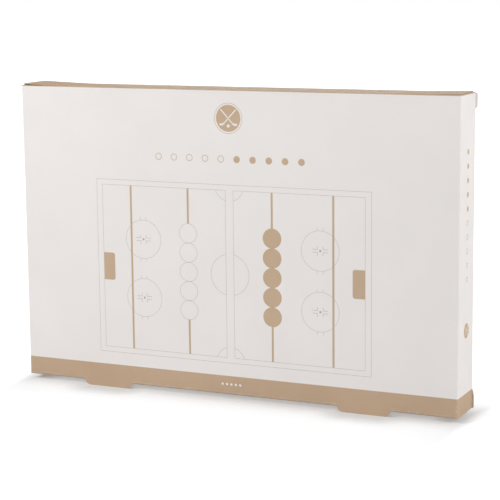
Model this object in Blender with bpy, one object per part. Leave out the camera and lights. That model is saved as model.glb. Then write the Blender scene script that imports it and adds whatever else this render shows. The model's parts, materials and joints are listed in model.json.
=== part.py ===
"""Boxed table hockey game: a printed slip carton that stands on card feet, and a tray that slides up
out of it with the wooden game and its ten pucks.

Metres, +Z up. The origin is on the floor under the middle of the carton, and the front faces -Y.
The game is modelled as it lies on a table, x along it, y across it and z up from its playing face,
under an empty that stands it on its lower rail with that face to the front.
"""

import math

import bmesh
import bpy
from mathutils import Vector

# Clearances
SEAT_GAP = 0.0003  # between pieces that touch
TRAY_PLAY = 0.0005  # round the tray, inside the carton
HOLE_CLEARANCE = 0.0003  # round a dowel or a screw
CORD_CLEARANCE = 0.0004  # round a cord or its knot
CUT_OVERRUN = 0.004  # how far a cutter runs past the face that it opens
MERGE_DISTANCE = 0.00001  # points this close are one

# Pucks
PUCKS_PER_SIDE = 5
PUCK_DIAMETER = 0.030
PUCK_THICKNESS = 0.010
PUCK_EDGE_RADIUS = 0.0014
PUCK_SPACING = 0.0016  # between neighbours in the row that lies on the lower rail

# Elastic cords
CORD_DIAMETER = 0.003
KNOT_DIAMETER = 0.0066
KNOT_LENGTH = 0.0042
CORD_TAIL = 0.0012  # past the knot
DRAW_DEPTH = 0.0484  # free length behind a cord, where it is pulled back

# Playing field and its centre bar
FIELD_WIDTH = 0.2526
BAR_WIDTH = 0.0126
BAR_HOUSING = 0.003  # how deep the bar's ends sit in the long rails
BAR_EDGE_RADIUS = 0.0012
GATE_SIDE_PLAY = 0.003
GATE_TOP_PLAY = 0.003
GATE_CORNER_RADIUS = 0.003
BRIDGE_HEIGHT = 0.010  # wood above the gate
GOAL_WIDTH = 0.0428
GOAL_DEPTH = 0.0195
GOAL_CORNER_RADIUS = 0.0038
GOAL_RECESS = 0.0008

# Board and rails
BOARD_THICKNESS = 0.004
BOARD_GROOVE = 0.004  # how deep the board's edges sit in the rails
SKIRT_HEIGHT = 0.0042  # rail below the board
RAIL_WIDTH = 0.0107
RAIL_EDGE_RADIUS = 0.0018
RAIL_FOOT_RADIUS = 0.0006
RAIL_CORNER_RADIUS = 0.004

# Dowels, screws and rubber feet
DOWEL_DIAMETER = 0.005
DOWEL_LENGTH = 0.030
DOWEL_CHAMFER = 0.0005
DOWEL_HEIGHT_SHARES = (0.27, 0.73)  # of the rail's height above the board
SCREW_LENGTH = 0.024
SCREW_DIAMETER = 0.0035
SCREW_POINT = 0.004
SCREW_HEAD_DIAMETER = 0.0068
SCREW_HEAD_DEPTH = 0.0021
SCREW_HEAD_EDGE = 0.0003  # rim above the cone
SCREW_SLOT_WIDTH = 0.0009
SCREW_SLOT_LENGTH = 0.0038
SCREW_SLOT_DEPTH = 0.0011
PAD_THICKNESS = 0.0025
PAD_MARGIN = 0.0009  # rail left bare beside a rubber foot
PAD_INSET = 0.042  # from the game's end to the middle of a rubber foot
PAD_EDGE_RADIUS = 0.0006

# Tray
TRAY_CARD = 0.0012
GAME_END_PLAY = 0.00195  # between the game's ends and the tray's side walls
TRAY_RIM = 0.0036  # how far the tray's walls stand above the rails
CHANNEL_HEIGHT = 0.0196  # folded channel that fills the tray above the game

# Carton
CARD = 0.0015
TOP_RECESS = 0.0008  # from the carton's upper edge down to the tray's top wall
INNER_CREASE_RADIUS = 0.0005
CREASE_LAND = 0.0005  # flat stretch from a crease to the neighbouring panel
DUST_FLAP_LENGTH = 0.036
DUST_FLAP_CHAMFER = 0.005
GLUE_FLAP_WIDTH = 0.018
GLUE_FLAP_SLANT = 0.006
GLUE_FLAP_SETBACK = 0.007  # below the tray's top wall
FOOT_HEIGHT = 0.0052
FOOT_SPACING = 0.279  # between the middles of two feet
FOOT_ROOT_WIDTH = 0.056
FOOT_BASE_WIDTH = 0.049
FOOT_CORNER_RADIUS = 0.006
UPPER_EAR_REACH = 0.0018
UPPER_EAR_HEIGHT = 0.0158
UPPER_EAR_SLANT = 0.0025
LOWER_EAR_REACH = 0.0015
LOWER_EAR_HEIGHT = 0.019
LOWER_EAR_SLANT = 0.006
EAR_CORNER_RADIUS = 0.0015

# Playing field, worked out from the pieces on it
PUCK_ROW = PUCKS_PER_SIDE * PUCK_DIAMETER + (PUCKS_PER_SIDE + 1) * PUCK_SPACING
CORD_PLACE = BAR_WIDTH / 2 + PUCK_ROW + CORD_DIAMETER / 2
FIELD_HALF_LENGTH = CORD_PLACE + CORD_DIAMETER / 2 + DRAW_DEPTH
GATE_WIDTH = PUCK_DIAMETER + 2 * GATE_SIDE_PLAY
GATE_HEIGHT = PUCK_THICKNESS + GATE_TOP_PLAY
WALL_HEIGHT = GATE_HEIGHT + BRIDGE_HEIGHT

# Game
GAME_LENGTH = 2 * (FIELD_HALF_LENGTH + RAIL_WIDTH)
GAME_WIDTH = FIELD_WIDTH + 2 * RAIL_WIDTH
FRAME_BOTTOM = -BOARD_THICKNESS - SKIRT_HEIGHT
FRAME_HEIGHT = WALL_HEIGHT - FRAME_BOTTOM
PAD_DIAMETER = RAIL_WIDTH - 2 * PAD_MARGIN
RAIL_MIDDLE_Y = FIELD_WIDTH / 2 + RAIL_WIDTH / 2
KNOT_RECESS = 2 * SEAT_GAP + KNOT_LENGTH + CORD_TAIL
CORD_HEIGHT = PUCK_THICKNESS / 2 + SEAT_GAP

# Depth of the carton, added up from the front
GAME_DEPTH = FRAME_HEIGHT + SEAT_GAP + PAD_THICKNESS
TRAY_DEPTH = TRAY_RIM + GAME_DEPTH + SEAT_GAP + TRAY_CARD
CARTON_DEPTH = 3 * CARD + SEAT_GAP + 2 * TRAY_PLAY + TRAY_DEPTH
TRAY_FRONT_Y = -CARTON_DEPTH / 2 + CARD + TRAY_PLAY
TRAY_FLOOR_Y = TRAY_FRONT_Y + TRAY_DEPTH - TRAY_CARD
GAME_FRONT_Y = TRAY_FRONT_Y + TRAY_RIM

# Width of the carton, added up from the middle
CREASE_RADIUS = INNER_CREASE_RADIUS + CARD
TRAY_WIDTH = GAME_LENGTH + 2 * (GAME_END_PLAY + TRAY_CARD)
CARTON_WIDTH = TRAY_WIDTH + 2 * (TRAY_PLAY + CARD)
PANEL_HALF_WIDTH = CARTON_WIDTH / 2 - CREASE_RADIUS - CREASE_LAND - SEAT_GAP
INNER_HALF_WIDTH = CARTON_WIDTH / 2 - CARD - SEAT_GAP
INNER_HALF_DEPTH = CARTON_DEPTH / 2 - CARD - SEAT_GAP

# Height of the carton, added up from the floor
DUST_FLAP_Z = FOOT_HEIGHT + CARD + SEAT_GAP
TRAY_Z = DUST_FLAP_Z + CARD + SEAT_GAP
GAME_Z = TRAY_Z + TRAY_CARD + SEAT_GAP
CHANNEL_Z = GAME_Z + GAME_WIDTH + SEAT_GAP
TRAY_TOP_Z = CHANNEL_Z + CHANNEL_HEIGHT + SEAT_GAP
CARTON_TOP_Z = TRAY_TOP_Z + TRAY_CARD + TOP_RECESS
PANEL_HEIGHT = CARTON_TOP_Z - FOOT_HEIGHT

# Fineness
CORNER_STEPS = 4
ROUND_PROFILE = 0.5  # a bevel's profile that follows a circle
RIM_STEPS = 2
KNOT_STEPS = 6
ROUND_STEPS = 36
SMALL_ROUND_STEPS = 16
SMOOTH_ANGLE = math.radians(35)
ROUNDING_SHARE = 0.9  # of an edge, or of its half where both ends are rounded
RIM_SHARE = 0.45  # most that one rounded rim takes of a disc's thickness

# Turns that stand a flat outline up, or lay it across x
QUARTER = math.pi / 2
UPRIGHT = (QUARTER, 0, 0)
CROSSWAYS = (QUARTER, 0, QUARTER)

CARD_WHITE = ((0.80, 0.77, 0.74), 0.75, 0.0)
CARD_TAN = ((0.50, 0.37, 0.25), 0.75, 0.0)
BOARD_WOOD = ((0.72, 0.56, 0.37), 0.55, 0.0)
RAIL_WOOD = ((0.60, 0.42, 0.24), 0.5, 0.0)
LIGHT_PUCK_WOOD = ((0.76, 0.62, 0.44), 0.45, 0.0)
TAN_PUCK_PAINT = ((0.42, 0.30, 0.18), 0.45, 0.0)
CORD_YARN = ((0.35, 0.26, 0.17), 0.9, 0.0)
PAD_RUBBER = ((0.05, 0.05, 0.05), 0.8, 0.0)
SCREW_STEEL = ((0.55, 0.55, 0.55), 0.35, 1.0)


def clear_scene():
    for old in list(bpy.data.objects):
        bpy.data.objects.remove(old)


def material_of(name, finish):
    """A Principled material of this name, made from its colour, roughness and metallic value."""
    colour, roughness, metallic = finish
    material = bpy.data.materials.new(name)
    material.use_nodes = True
    shader = material.node_tree.nodes["Principled BSDF"]
    shader.inputs["Base Color"].default_value = (*colour, 1.0)
    shader.inputs["Roughness"].default_value = roughness
    shader.inputs["Metallic"].default_value = metallic
    return material


def frame_empty(name, location=(0, 0, 0), rotation=(0, 0, 0), parent=None):
    """An empty that carries the pieces of one moving body or of the game."""
    empty = bpy.data.objects.new(name, None)
    empty.location = location
    empty.rotation_euler = rotation
    empty.parent = parent
    bpy.context.scene.collection.objects.link(empty)
    return empty


def add_object(name, mesh, parent, location=(0, 0, 0), rotation=(0, 0, 0)):
    piece = bpy.data.objects.new(name, mesh)
    piece.location = location
    piece.rotation_euler = rotation
    piece.parent = parent
    bpy.context.scene.collection.objects.link(piece)
    return piece


def add_piece(name, mesh, finish, parent, location=(0, 0, 0), rotation=(0, 0, 0)):
    """A sub-part with its own copy of the mesh and its own material."""
    piece = add_object(name, mesh.copy(), parent, location, rotation)
    piece.data.name = name
    piece.data.materials.append(material_of(name, finish))
    piece.data.shade_smooth()
    piece.data.set_sharp_from_angle(angle=SMOOTH_ANGLE)
    return piece


def carve(piece, *cutters):
    """Cuts each cutter out of the piece, and leaves the cutter hidden in place."""
    for cutter in cutters:
        cutter.hide_render = True
        cutter.display_type = "WIRE"
        modifier = piece.modifiers.new(cutter.name, "BOOLEAN")
        modifier.operation = "DIFFERENCE"
        modifier.object = cutter


def mesh_from(bm, name):
    """Closes off a bmesh: normals outward, then a mesh data block."""
    bmesh.ops.recalc_face_normals(bm, faces=bm.faces)
    mesh = bpy.data.meshes.new(name)
    bm.to_mesh(mesh)
    bm.free()
    return mesh


def corner_arc(before, corner, after, radius, room):
    """Arc that rounds a corner between its neighbours, within this room along either edge."""
    to_before = (before - corner).normalized()
    to_after = (after - corner).normalized()
    half_angle = to_before.angle(to_after) / 2
    radius = min(radius, room * math.tan(half_angle))
    centre = corner + (to_before + to_after).normalized() * (radius / math.sin(half_angle))
    start = corner + to_before * (radius / math.tan(half_angle)) - centre
    end = corner + to_after * (radius / math.tan(half_angle)) - centre
    sweep = math.pi - 2 * half_angle
    points = []
    for step in range(CORNER_STEPS + 1):
        share = step / CORNER_STEPS
        along = math.sin((1 - share) * sweep) * start + math.sin(share * sweep) * end
        points.append(centre + along / math.sin(sweep))
    return points


def rounded_outline(corners):
    """Outline through (x, y, radius) corners, each rounded by its own radius, or sharp at radius 0."""
    places = [Vector((x, y)) for x, y, _ in corners]
    outline = []
    for index, (_, _, radius) in enumerate(corners):
        if radius <= 0:
            outline.append(places[index])
            continue
        rooms = []
        for neighbour in (index - 1, (index + 1) % len(corners)):
            length = (places[neighbour] - places[index]).length
            rooms.append(length / 2 if corners[neighbour][2] > 0 else length)
        before = places[index - 1]
        after = places[(index + 1) % len(places)]
        outline.extend(corner_arc(before, places[index], after, radius, ROUNDING_SHARE * min(rooms)))
    return outline


def plate_mesh(name, outline, thickness):
    """The outline in x and y, extruded along z from 0 to the thickness."""
    bm = bmesh.new()
    face = bm.faces.new([bm.verts.new((point[0], point[1], 0)) for point in outline])
    walls = bmesh.ops.extrude_face_region(bm, geom=[face])
    raised = [item for item in walls["geom"] if isinstance(item, bmesh.types.BMVert)]
    bmesh.ops.translate(bm, verts=raised, vec=(0, 0, thickness))
    return mesh_from(bm, name)


def box_mesh(name, size):
    """A box of this size round its own origin."""
    bm = bmesh.new()
    bmesh.ops.create_cube(bm, size=1)
    bmesh.ops.scale(bm, verts=bm.verts, vec=size)
    return mesh_from(bm, name)


def box_between(name, low, high):
    """Mesh and middle of the box from its low corner to its high one."""
    size = [top - bottom for bottom, top in zip(low, high)]
    middle = [(top + bottom) / 2 for bottom, top in zip(low, high)]
    return box_mesh(name, size), middle


def box_cutter(name, parent, low, high):
    """A box between two corners, for cutting."""
    mesh, middle = box_between(name, low, high)
    return add_object(name, mesh, parent, middle)


def turned_mesh(name, profile, steps=ROUND_STEPS):
    """The (radius, height) profile, from axis to axis, spun once round z."""
    bm = bmesh.new()
    points = [bm.verts.new((radius, 0, height)) for radius, height in profile]
    edges = [bm.edges.new(pair) for pair in zip(points, points[1:])]
    bmesh.ops.spin(
        bm,
        geom=points + edges,
        cent=(0, 0, 0),
        axis=(0, 0, 1),
        angle=math.tau,
        steps=steps,
        use_merge=True,
    )
    bmesh.ops.remove_doubles(bm, verts=bm.verts, dist=MERGE_DISTANCE)
    return mesh_from(bm, name)


def rim_arc(centre_radius, centre_height, radius, start, end):
    """(radius, height) points of an arc on a turned profile, from one angle to another."""
    points = []
    for step in range(RIM_STEPS + 1):
        angle = start + (end - start) * step / RIM_STEPS
        points.append((centre_radius + radius * math.cos(angle), centre_height + radius * math.sin(angle)))
    return points


def disc_profile(radius, bottom, top, edge_radius):
    """Profile of a flat disc whose two rims are rounded."""
    edge_radius = min(edge_radius, RIM_SHARE * (top - bottom))
    lower = rim_arc(radius - edge_radius, bottom + edge_radius, edge_radius, -QUARTER, 0)
    upper = rim_arc(radius - edge_radius, top - edge_radius, edge_radius, 0, QUARTER)
    return [(0, bottom), *lower, *upper, (0, top)]


def pin_profile(radius, bottom, top, chamfer):
    """Profile of a plain pin with chamfered ends."""
    return [
        (0, bottom),
        (radius - chamfer, bottom),
        (radius, bottom + chamfer),
        (radius, top - chamfer),
        (radius - chamfer, top),
        (0, top),
    ]


def ease_edges(mesh, chosen, radius):
    """Rounds the edges for which chosen(first, second) is true of their two end points."""
    bm = bmesh.new()
    bm.from_mesh(mesh)
    edges = [edge for edge in bm.edges if chosen(edge.verts[0].co, edge.verts[1].co)]
    bmesh.ops.bevel(
        bm,
        geom=edges,
        offset=radius,
        segments=CORNER_STEPS,
        profile=ROUND_PROFILE,
        affect="EDGES",
        clamp_overlap=True,
    )
    bmesh.ops.recalc_face_normals(bm, faces=bm.faces)
    bm.to_mesh(mesh)
    bm.free()


# Carton


def foot_corners(middle):
    """Corners of one foot, left to right, below the panel's lower edge at 0."""
    root = FOOT_ROOT_WIDTH / 2
    base = FOOT_BASE_WIDTH / 2
    return [
        (middle - root, 0, 0),
        (middle - base, -FOOT_HEIGHT, FOOT_CORNER_RADIUS),
        (middle + base, -FOOT_HEIGHT, FOOT_CORNER_RADIUS),
        (middle + root, 0, 0),
    ]


def lower_edge_corners():
    """Lower edge of a large panel with its two feet, left to right."""
    left_foot = foot_corners(-FOOT_SPACING / 2)
    right_foot = foot_corners(FOOT_SPACING / 2)
    return [(-PANEL_HALF_WIDTH, 0, 0), *left_foot, *right_foot, (PANEL_HALF_WIDTH, 0, 0)]


def front_panel(carton):
    """Large printed panel, one piece with the two feet cut out of the bottom panel."""
    top = [(PANEL_HALF_WIDTH, PANEL_HEIGHT, 0), (-PANEL_HALF_WIDTH, PANEL_HEIGHT, 0)]
    mesh = plate_mesh("front_panel", rounded_outline(lower_edge_corners() + top), CARD)
    place = (0, -CARTON_DEPTH / 2 + CARD, FOOT_HEIGHT)
    add_piece("front_panel", mesh, CARD_WHITE, carton, place, UPRIGHT)


def ear_corners():
    """Right-hand ears of the back panel, which pass the side panel, from below upwards."""
    edge = CARTON_WIDTH / 2
    upper_start = PANEL_HEIGHT - UPPER_EAR_HEIGHT
    return [
        (edge + LOWER_EAR_REACH, 0, EAR_CORNER_RADIUS),
        (edge + LOWER_EAR_REACH, LOWER_EAR_HEIGHT - LOWER_EAR_SLANT, 0),
        (edge, LOWER_EAR_HEIGHT, 0),
        (PANEL_HALF_WIDTH, LOWER_EAR_HEIGHT, 0),
        (PANEL_HALF_WIDTH, upper_start, 0),
        (edge, upper_start, 0),
        (edge + UPPER_EAR_REACH, upper_start + UPPER_EAR_SLANT, 0),
        (edge + UPPER_EAR_REACH, PANEL_HEIGHT, EAR_CORNER_RADIUS),
    ]


def back_panel(carton):
    """Large panel behind, with two feet and an ear at each corner."""
    right = ear_corners()
    left = [(-x, z, radius) for x, z, radius in reversed(right)]
    outline = rounded_outline(lower_edge_corners() + right + left)
    mesh = plate_mesh("back_panel", outline, CARD)
    place = (0, CARTON_DEPTH / 2, FOOT_HEIGHT)
    add_piece("back_panel", mesh, CARD_WHITE, carton, place, UPRIGHT)


def side_panel(name, carton, side):
    """Narrow panel with the creases that turn it into the two large ones, seen from above."""
    outer = CARTON_WIDTH / 2
    inner = outer - CARD
    start = outer - CREASE_RADIUS - CREASE_LAND
    half = CARTON_DEPTH / 2
    rear_half = [
        (outer, half, CREASE_RADIUS),
        (start, half, 0),
        (start, half - CARD, 0),
        (inner, half - CARD, INNER_CREASE_RADIUS),
    ]
    front_half = [(x, -y, radius) for x, y, radius in reversed(rear_half)]
    outline = rounded_outline(rear_half + front_half)
    mesh = plate_mesh(name, [(side * x, y) for x, y in outline], PANEL_HEIGHT)
    panel = add_piece(name, mesh, CARD_WHITE, carton, (0, 0, FOOT_HEIGHT))
    near, far = (-CUT_OVERRUN, CARTON_WIDTH) if side > 0 else (-CARTON_WIDTH, CUT_OVERRUN)
    ear_heights = (
        ("_lower_ear_room", FOOT_HEIGHT - CUT_OVERRUN, FOOT_HEIGHT + LOWER_EAR_HEIGHT + SEAT_GAP),
        ("_upper_ear_room", CARTON_TOP_Z - UPPER_EAR_HEIGHT - SEAT_GAP, CARTON_TOP_Z + CUT_OVERRUN),
    )
    for ending, bottom, top in ear_heights:
        room = box_cutter(name + ending, carton, (near, INNER_HALF_DEPTH, bottom), (far, CARTON_DEPTH, top))
        carve(panel, room)


def bottom_panel(carton):
    """Glued bottom, with the four notches that the feet were cut out of."""
    notches = []
    for middle in (FOOT_SPACING / 2, -FOOT_SPACING / 2):
        for x, depth, radius in reversed(foot_corners(middle)):
            notches.append((x, INNER_HALF_DEPTH + depth, radius))
    right = (INNER_HALF_WIDTH, INNER_HALF_DEPTH, INNER_CREASE_RADIUS)
    left = (-INNER_HALF_WIDTH, INNER_HALF_DEPTH, INNER_CREASE_RADIUS)
    rear = [right, *notches, left]
    front = [(x, -y, radius) for x, y, radius in reversed(rear)]
    mesh = plate_mesh("bottom_panel", rounded_outline(rear + front), CARD)
    add_piece("bottom_panel", mesh, CARD_WHITE, carton, (0, 0, FOOT_HEIGHT))


def dust_flap(name, carton, side):
    """Flap folded in from a side panel, above the glued bottom."""
    start = side * INNER_HALF_WIDTH
    end = side * (INNER_HALF_WIDTH - DUST_FLAP_LENGTH)
    chamfer = side * DUST_FLAP_CHAMFER
    rear = [
        (start, INNER_HALF_DEPTH, INNER_CREASE_RADIUS),
        (end + chamfer, INNER_HALF_DEPTH, 0),
        (end, INNER_HALF_DEPTH - DUST_FLAP_CHAMFER, 0),
    ]
    front = [(x, -y, radius) for x, y, radius in reversed(rear)]
    mesh = plate_mesh(name, rounded_outline(rear + front), CARD)
    add_piece(name, mesh, CARD_WHITE, carton, (0, 0, DUST_FLAP_Z))


def glue_flap(carton):
    """Seam strip of the left side panel, glued inside the back panel."""
    bottom = DUST_FLAP_Z + CARD + SEAT_GAP
    top = TRAY_TOP_Z - GLUE_FLAP_SETBACK
    start = -INNER_HALF_WIDTH
    end = start + GLUE_FLAP_WIDTH
    corners = [
        (start, bottom, 0),
        (end, bottom + GLUE_FLAP_SLANT, 0),
        (end, top - GLUE_FLAP_SLANT, 0),
        (start, top, 0),
    ]
    mesh = plate_mesh("glue_flap", rounded_outline(corners), CARD)
    place = (0, CARTON_DEPTH / 2 - CARD - SEAT_GAP, 0)
    add_piece("glue_flap", mesh, CARD_WHITE, carton, place, UPRIGHT)


def build_carton():
    carton = frame_empty("carton_frame")
    front_panel(carton)
    back_panel(carton)
    side_panel("left_side_panel", carton, -1)
    side_panel("right_side_panel", carton, 1)
    bottom_panel(carton)
    dust_flap("left_dust_flap", carton, -1)
    dust_flap("right_dust_flap", carton, 1)
    glue_flap(carton)


# Tray


def card_wall(name, tray, low, high):
    """A flat wall of the tray between two corners, in the tray's own frame."""
    mesh, middle = box_between(name, low, high)
    return add_piece(name, mesh, CARD_TAN, tray, middle)


def tray_walls(tray):
    """Five card walls, open to the front. Heights are above the tray's own lower face."""
    half = TRAY_WIDTH / 2
    inner = half - TRAY_CARD
    ceiling = TRAY_TOP_Z - TRAY_Z
    wall_back = TRAY_FLOOR_Y - SEAT_GAP
    top_back = CARTON_DEPTH / 2 - CARD - TRAY_PLAY
    floor_low = (-half, TRAY_FLOOR_Y, 0)
    floor_high = (half, TRAY_FLOOR_Y + TRAY_CARD, ceiling - SEAT_GAP)
    card_wall("tray_back", tray, floor_low, floor_high)
    card_wall("tray_bottom_wall", tray, (-half, TRAY_FRONT_Y, 0), (half, wall_back, TRAY_CARD))
    top_high = (half, top_back, ceiling + TRAY_CARD)
    card_wall("tray_top_wall", tray, (-half, TRAY_FRONT_Y, ceiling), top_high)
    low_z = TRAY_CARD + SEAT_GAP
    high_z = ceiling - SEAT_GAP
    left_low = (-half, TRAY_FRONT_Y, low_z)
    card_wall("tray_left_wall", tray, left_low, (-inner, wall_back, high_z))
    card_wall("tray_right_wall", tray, (inner, TRAY_FRONT_Y, low_z), (half, wall_back, high_z))


def packing_channel(tray):
    """Folded card channel, open at both ends, that fills the tray above the game."""
    bottom = CHANNEL_Z - TRAY_Z
    low = (-GAME_LENGTH / 2, GAME_FRONT_Y, bottom)
    high = (GAME_LENGTH / 2, TRAY_FLOOR_Y - SEAT_GAP, bottom + CHANNEL_HEIGHT)
    channel = card_wall("packing_channel", tray, low, high)
    hollow_low = (low[0] - CUT_OVERRUN, low[1] + TRAY_CARD, low[2] + TRAY_CARD)
    hollow_high = (high[0] + CUT_OVERRUN, high[1] - TRAY_CARD, high[2] - TRAY_CARD)
    carve(channel, box_cutter("packing_channel_hollow", tray, hollow_low, hollow_high))


# Wooden game


def spans(first, second):
    """Whether two places along an axis are apart."""
    return abs(first - second) > MERGE_DISTANCE


def playing_board(game):
    """Board whose edges sit in the rails' grooves, with a shallow painted goal at each end."""
    size_x = 2 * (FIELD_HALF_LENGTH + BOARD_GROOVE - SEAT_GAP)
    size_y = FIELD_WIDTH + 2 * (BOARD_GROOVE - SEAT_GAP)
    mesh = box_mesh("playing_board", (size_x, size_y, BOARD_THICKNESS))
    board = add_piece("playing_board", mesh, BOARD_WOOD, game, (0, 0, -BOARD_THICKNESS / 2))
    for name, side in (("left_goal_cut", -1), ("right_goal_cut", 1)):
        mouth = side * FIELD_HALF_LENGTH
        crease = side * (FIELD_HALF_LENGTH - GOAL_DEPTH)
        corners = [
            (mouth, -GOAL_WIDTH / 2, 0),
            (mouth, GOAL_WIDTH / 2, 0),
            (crease, GOAL_WIDTH / 2, GOAL_CORNER_RADIUS),
            (crease, -GOAL_WIDTH / 2, GOAL_CORNER_RADIUS),
        ]
        goal = plate_mesh(name, rounded_outline(corners), GOAL_RECESS + CUT_OVERRUN)
        carve(board, add_object(name, goal, game, (0, 0, -GOAL_RECESS)))


def board_groove(game):
    """The room for the board's edges, which cuts the groove in all four rails."""
    reach_x = FIELD_HALF_LENGTH + BOARD_GROOVE
    reach_y = FIELD_WIDTH / 2 + BOARD_GROOVE
    low = (-reach_x, -reach_y, -BOARD_THICKNESS - SEAT_GAP)
    return box_cutter("board_groove_cut", game, low, (reach_x, reach_y, SEAT_GAP))


def bar_housing(game):
    """The room for the centre bar's two ends in the long rails."""
    reach_x = BAR_WIDTH / 2 + SEAT_GAP
    reach_y = FIELD_WIDTH / 2 + BAR_HOUSING
    high = (reach_x, reach_y, WALL_HEIGHT + CUT_OVERRUN)
    return box_cutter("bar_housing_cut", game, (-reach_x, -reach_y, 0), high)


def dowel_places():
    """Name, side along, side across and height of each dowel."""
    places = []
    for end, along in (("left", -1), ("right", 1)):
        for edge, across in (("lower", -1), ("upper", 1)):
            for level, share in zip(("rear", "front"), DOWEL_HEIGHT_SHARES):
                places.append((f"{end}_{edge}_{level}_dowel", along, across, share * WALL_HEIGHT))
    return places


def dowels(game):
    """Dowels through the end rails into the long ones. Gives each hole's cutter with its two sides."""
    radius = DOWEL_DIAMETER / 2
    pin_points = pin_profile(radius, -DOWEL_LENGTH, 0, DOWEL_CHAMFER)
    hole_bottom = -DOWEL_LENGTH - HOLE_CLEARANCE
    hole_points = pin_profile(radius + HOLE_CLEARANCE, hole_bottom, CUT_OVERRUN, DOWEL_CHAMFER)
    pin = turned_mesh("dowel", pin_points, SMALL_ROUND_STEPS)
    hole = turned_mesh("dowel_hole", hole_points, SMALL_ROUND_STEPS)
    holes = []
    for name, along, across, height in dowel_places():
        place = (along * GAME_LENGTH / 2, across * RAIL_MIDDLE_Y, height)
        turn = (0, along * QUARTER, 0)
        add_piece(name, pin, RAIL_WOOD, game, place, turn)
        holes.append((along, across, add_object(name + "_hole", hole, game, place, turn)))
    return holes


def cord_profile():
    """Half of a cord's outline, round its axis, with a knot and a short tail at each end."""
    half_length = GAME_WIDTH / 2 - SEAT_GAP
    radius = CORD_DIAMETER / 2
    knot_end = half_length - CORD_TAIL
    knot = []
    for step in range(1, KNOT_STEPS):
        angle = math.pi * step / KNOT_STEPS
        height = knot_end - KNOT_LENGTH * (1 + math.cos(angle)) / 2
        knot.append((radius + (KNOT_DIAMETER / 2 - radius) * math.sin(angle), height))
    upper = [(radius, knot_end - KNOT_LENGTH), *knot, (radius, knot_end), (radius, half_length)]
    lower = [(reach, -height) for reach, height in reversed(upper)]
    return [(0, -half_length), *lower, *upper, (0, half_length)]


def cords(game):
    """Two elastic cords across the field, held by their knots. Gives each hole's cutter and its side."""
    hole_radius = CORD_DIAMETER / 2 + CORD_CLEARANCE
    recess_radius = KNOT_DIAMETER / 2 + CORD_CLEARANCE
    inner_end = -RAIL_WIDTH - CUT_OVERRUN
    room_points = [
        (0, inner_end),
        (hole_radius, inner_end),
        (hole_radius, -KNOT_RECESS),
        (recess_radius, -KNOT_RECESS),
        (recess_radius, CUT_OVERRUN),
        (0, CUT_OVERRUN),
    ]
    cord = turned_mesh("cord", cord_profile(), SMALL_ROUND_STEPS)
    room = turned_mesh("cord_room", room_points, SMALL_ROUND_STEPS)
    rooms = []
    for name, side in (("left_elastic_cord", -1), ("right_elastic_cord", 1)):
        x = side * CORD_PLACE
        add_piece(name, cord, CORD_YARN, game, (x, 0, CORD_HEIGHT), UPRIGHT)
        for across in (-1, 1):
            place = (x, across * GAME_WIDTH / 2, CORD_HEIGHT)
            turn = (-across * QUARTER, 0, 0)
            rooms.append((across, add_object(name + "_room", room, game, place, turn)))
    return rooms


def screw_profile(clearance, rise):
    """Countersunk screw, 0 at the top of its head, or with a clearance and a rise the room for it."""
    radius = SCREW_DIAMETER / 2 + clearance
    head_radius = SCREW_HEAD_DIAMETER / 2 + clearance
    return [
        (0, -SCREW_LENGTH - clearance),
        (radius, -SCREW_LENGTH + SCREW_POINT - clearance),
        (radius, -SCREW_HEAD_DEPTH - clearance),
        (head_radius, -clearance),
        (head_radius, rise),
        (0, rise),
    ]


def bar_screws(game):
    """A cross-headed screw through each long rail into the bar. Gives each hole's cutter and its side."""
    edge = SCREW_HEAD_EDGE
    solid = [(reach, height - edge) for reach, height in screw_profile(0, edge)]
    screw = turned_mesh("screw", solid, SMALL_ROUND_STEPS)
    room_points = [(reach, height - edge) for reach, height in screw_profile(HOLE_CLEARANCE, CUT_OVERRUN)]
    room = turned_mesh("screw_room", room_points, SMALL_ROUND_STEPS)
    half_width = SCREW_SLOT_WIDTH / 2
    half_length = SCREW_SLOT_LENGTH / 2
    rooms = []
    for edge_name, across in (("lower", -1), ("upper", 1)):
        name = edge_name + "_bar_screw"
        place = (0, across * (GAME_WIDTH / 2 - SEAT_GAP), WALL_HEIGHT / 2)
        turn = (-across * QUARTER, 0, 0)
        piece = add_piece(name, screw, SCREW_STEEL, game, place, turn)
        for reach_x, reach_y in ((half_width, half_length), (half_length, half_width)):
            low = (-reach_x, -reach_y, -SCREW_SLOT_DEPTH)
            slot = box_cutter(name + "_slot", piece, low, (reach_x, reach_y, CUT_OVERRUN))
            carve(piece, slot)
        rooms.append((across, add_object(name + "_room", room, game, place, turn)))
    return rooms


def long_rail(name, game, across):
    """Rail along the game, rounded on top, between the end rails."""
    half = RAIL_WIDTH / 2
    corners = [
        (-half, FRAME_BOTTOM, RAIL_FOOT_RADIUS),
        (half, FRAME_BOTTOM, RAIL_FOOT_RADIUS),
        (half, WALL_HEIGHT, RAIL_EDGE_RADIUS),
        (-half, WALL_HEIGHT, RAIL_EDGE_RADIUS),
    ]
    mesh = plate_mesh(name, rounded_outline(corners), 2 * (FIELD_HALF_LENGTH - SEAT_GAP))
    place = (-FIELD_HALF_LENGTH + SEAT_GAP, across * RAIL_MIDDLE_Y, 0)
    return add_piece(name, mesh, RAIL_WOOD, game, place, CROSSWAYS)


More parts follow.
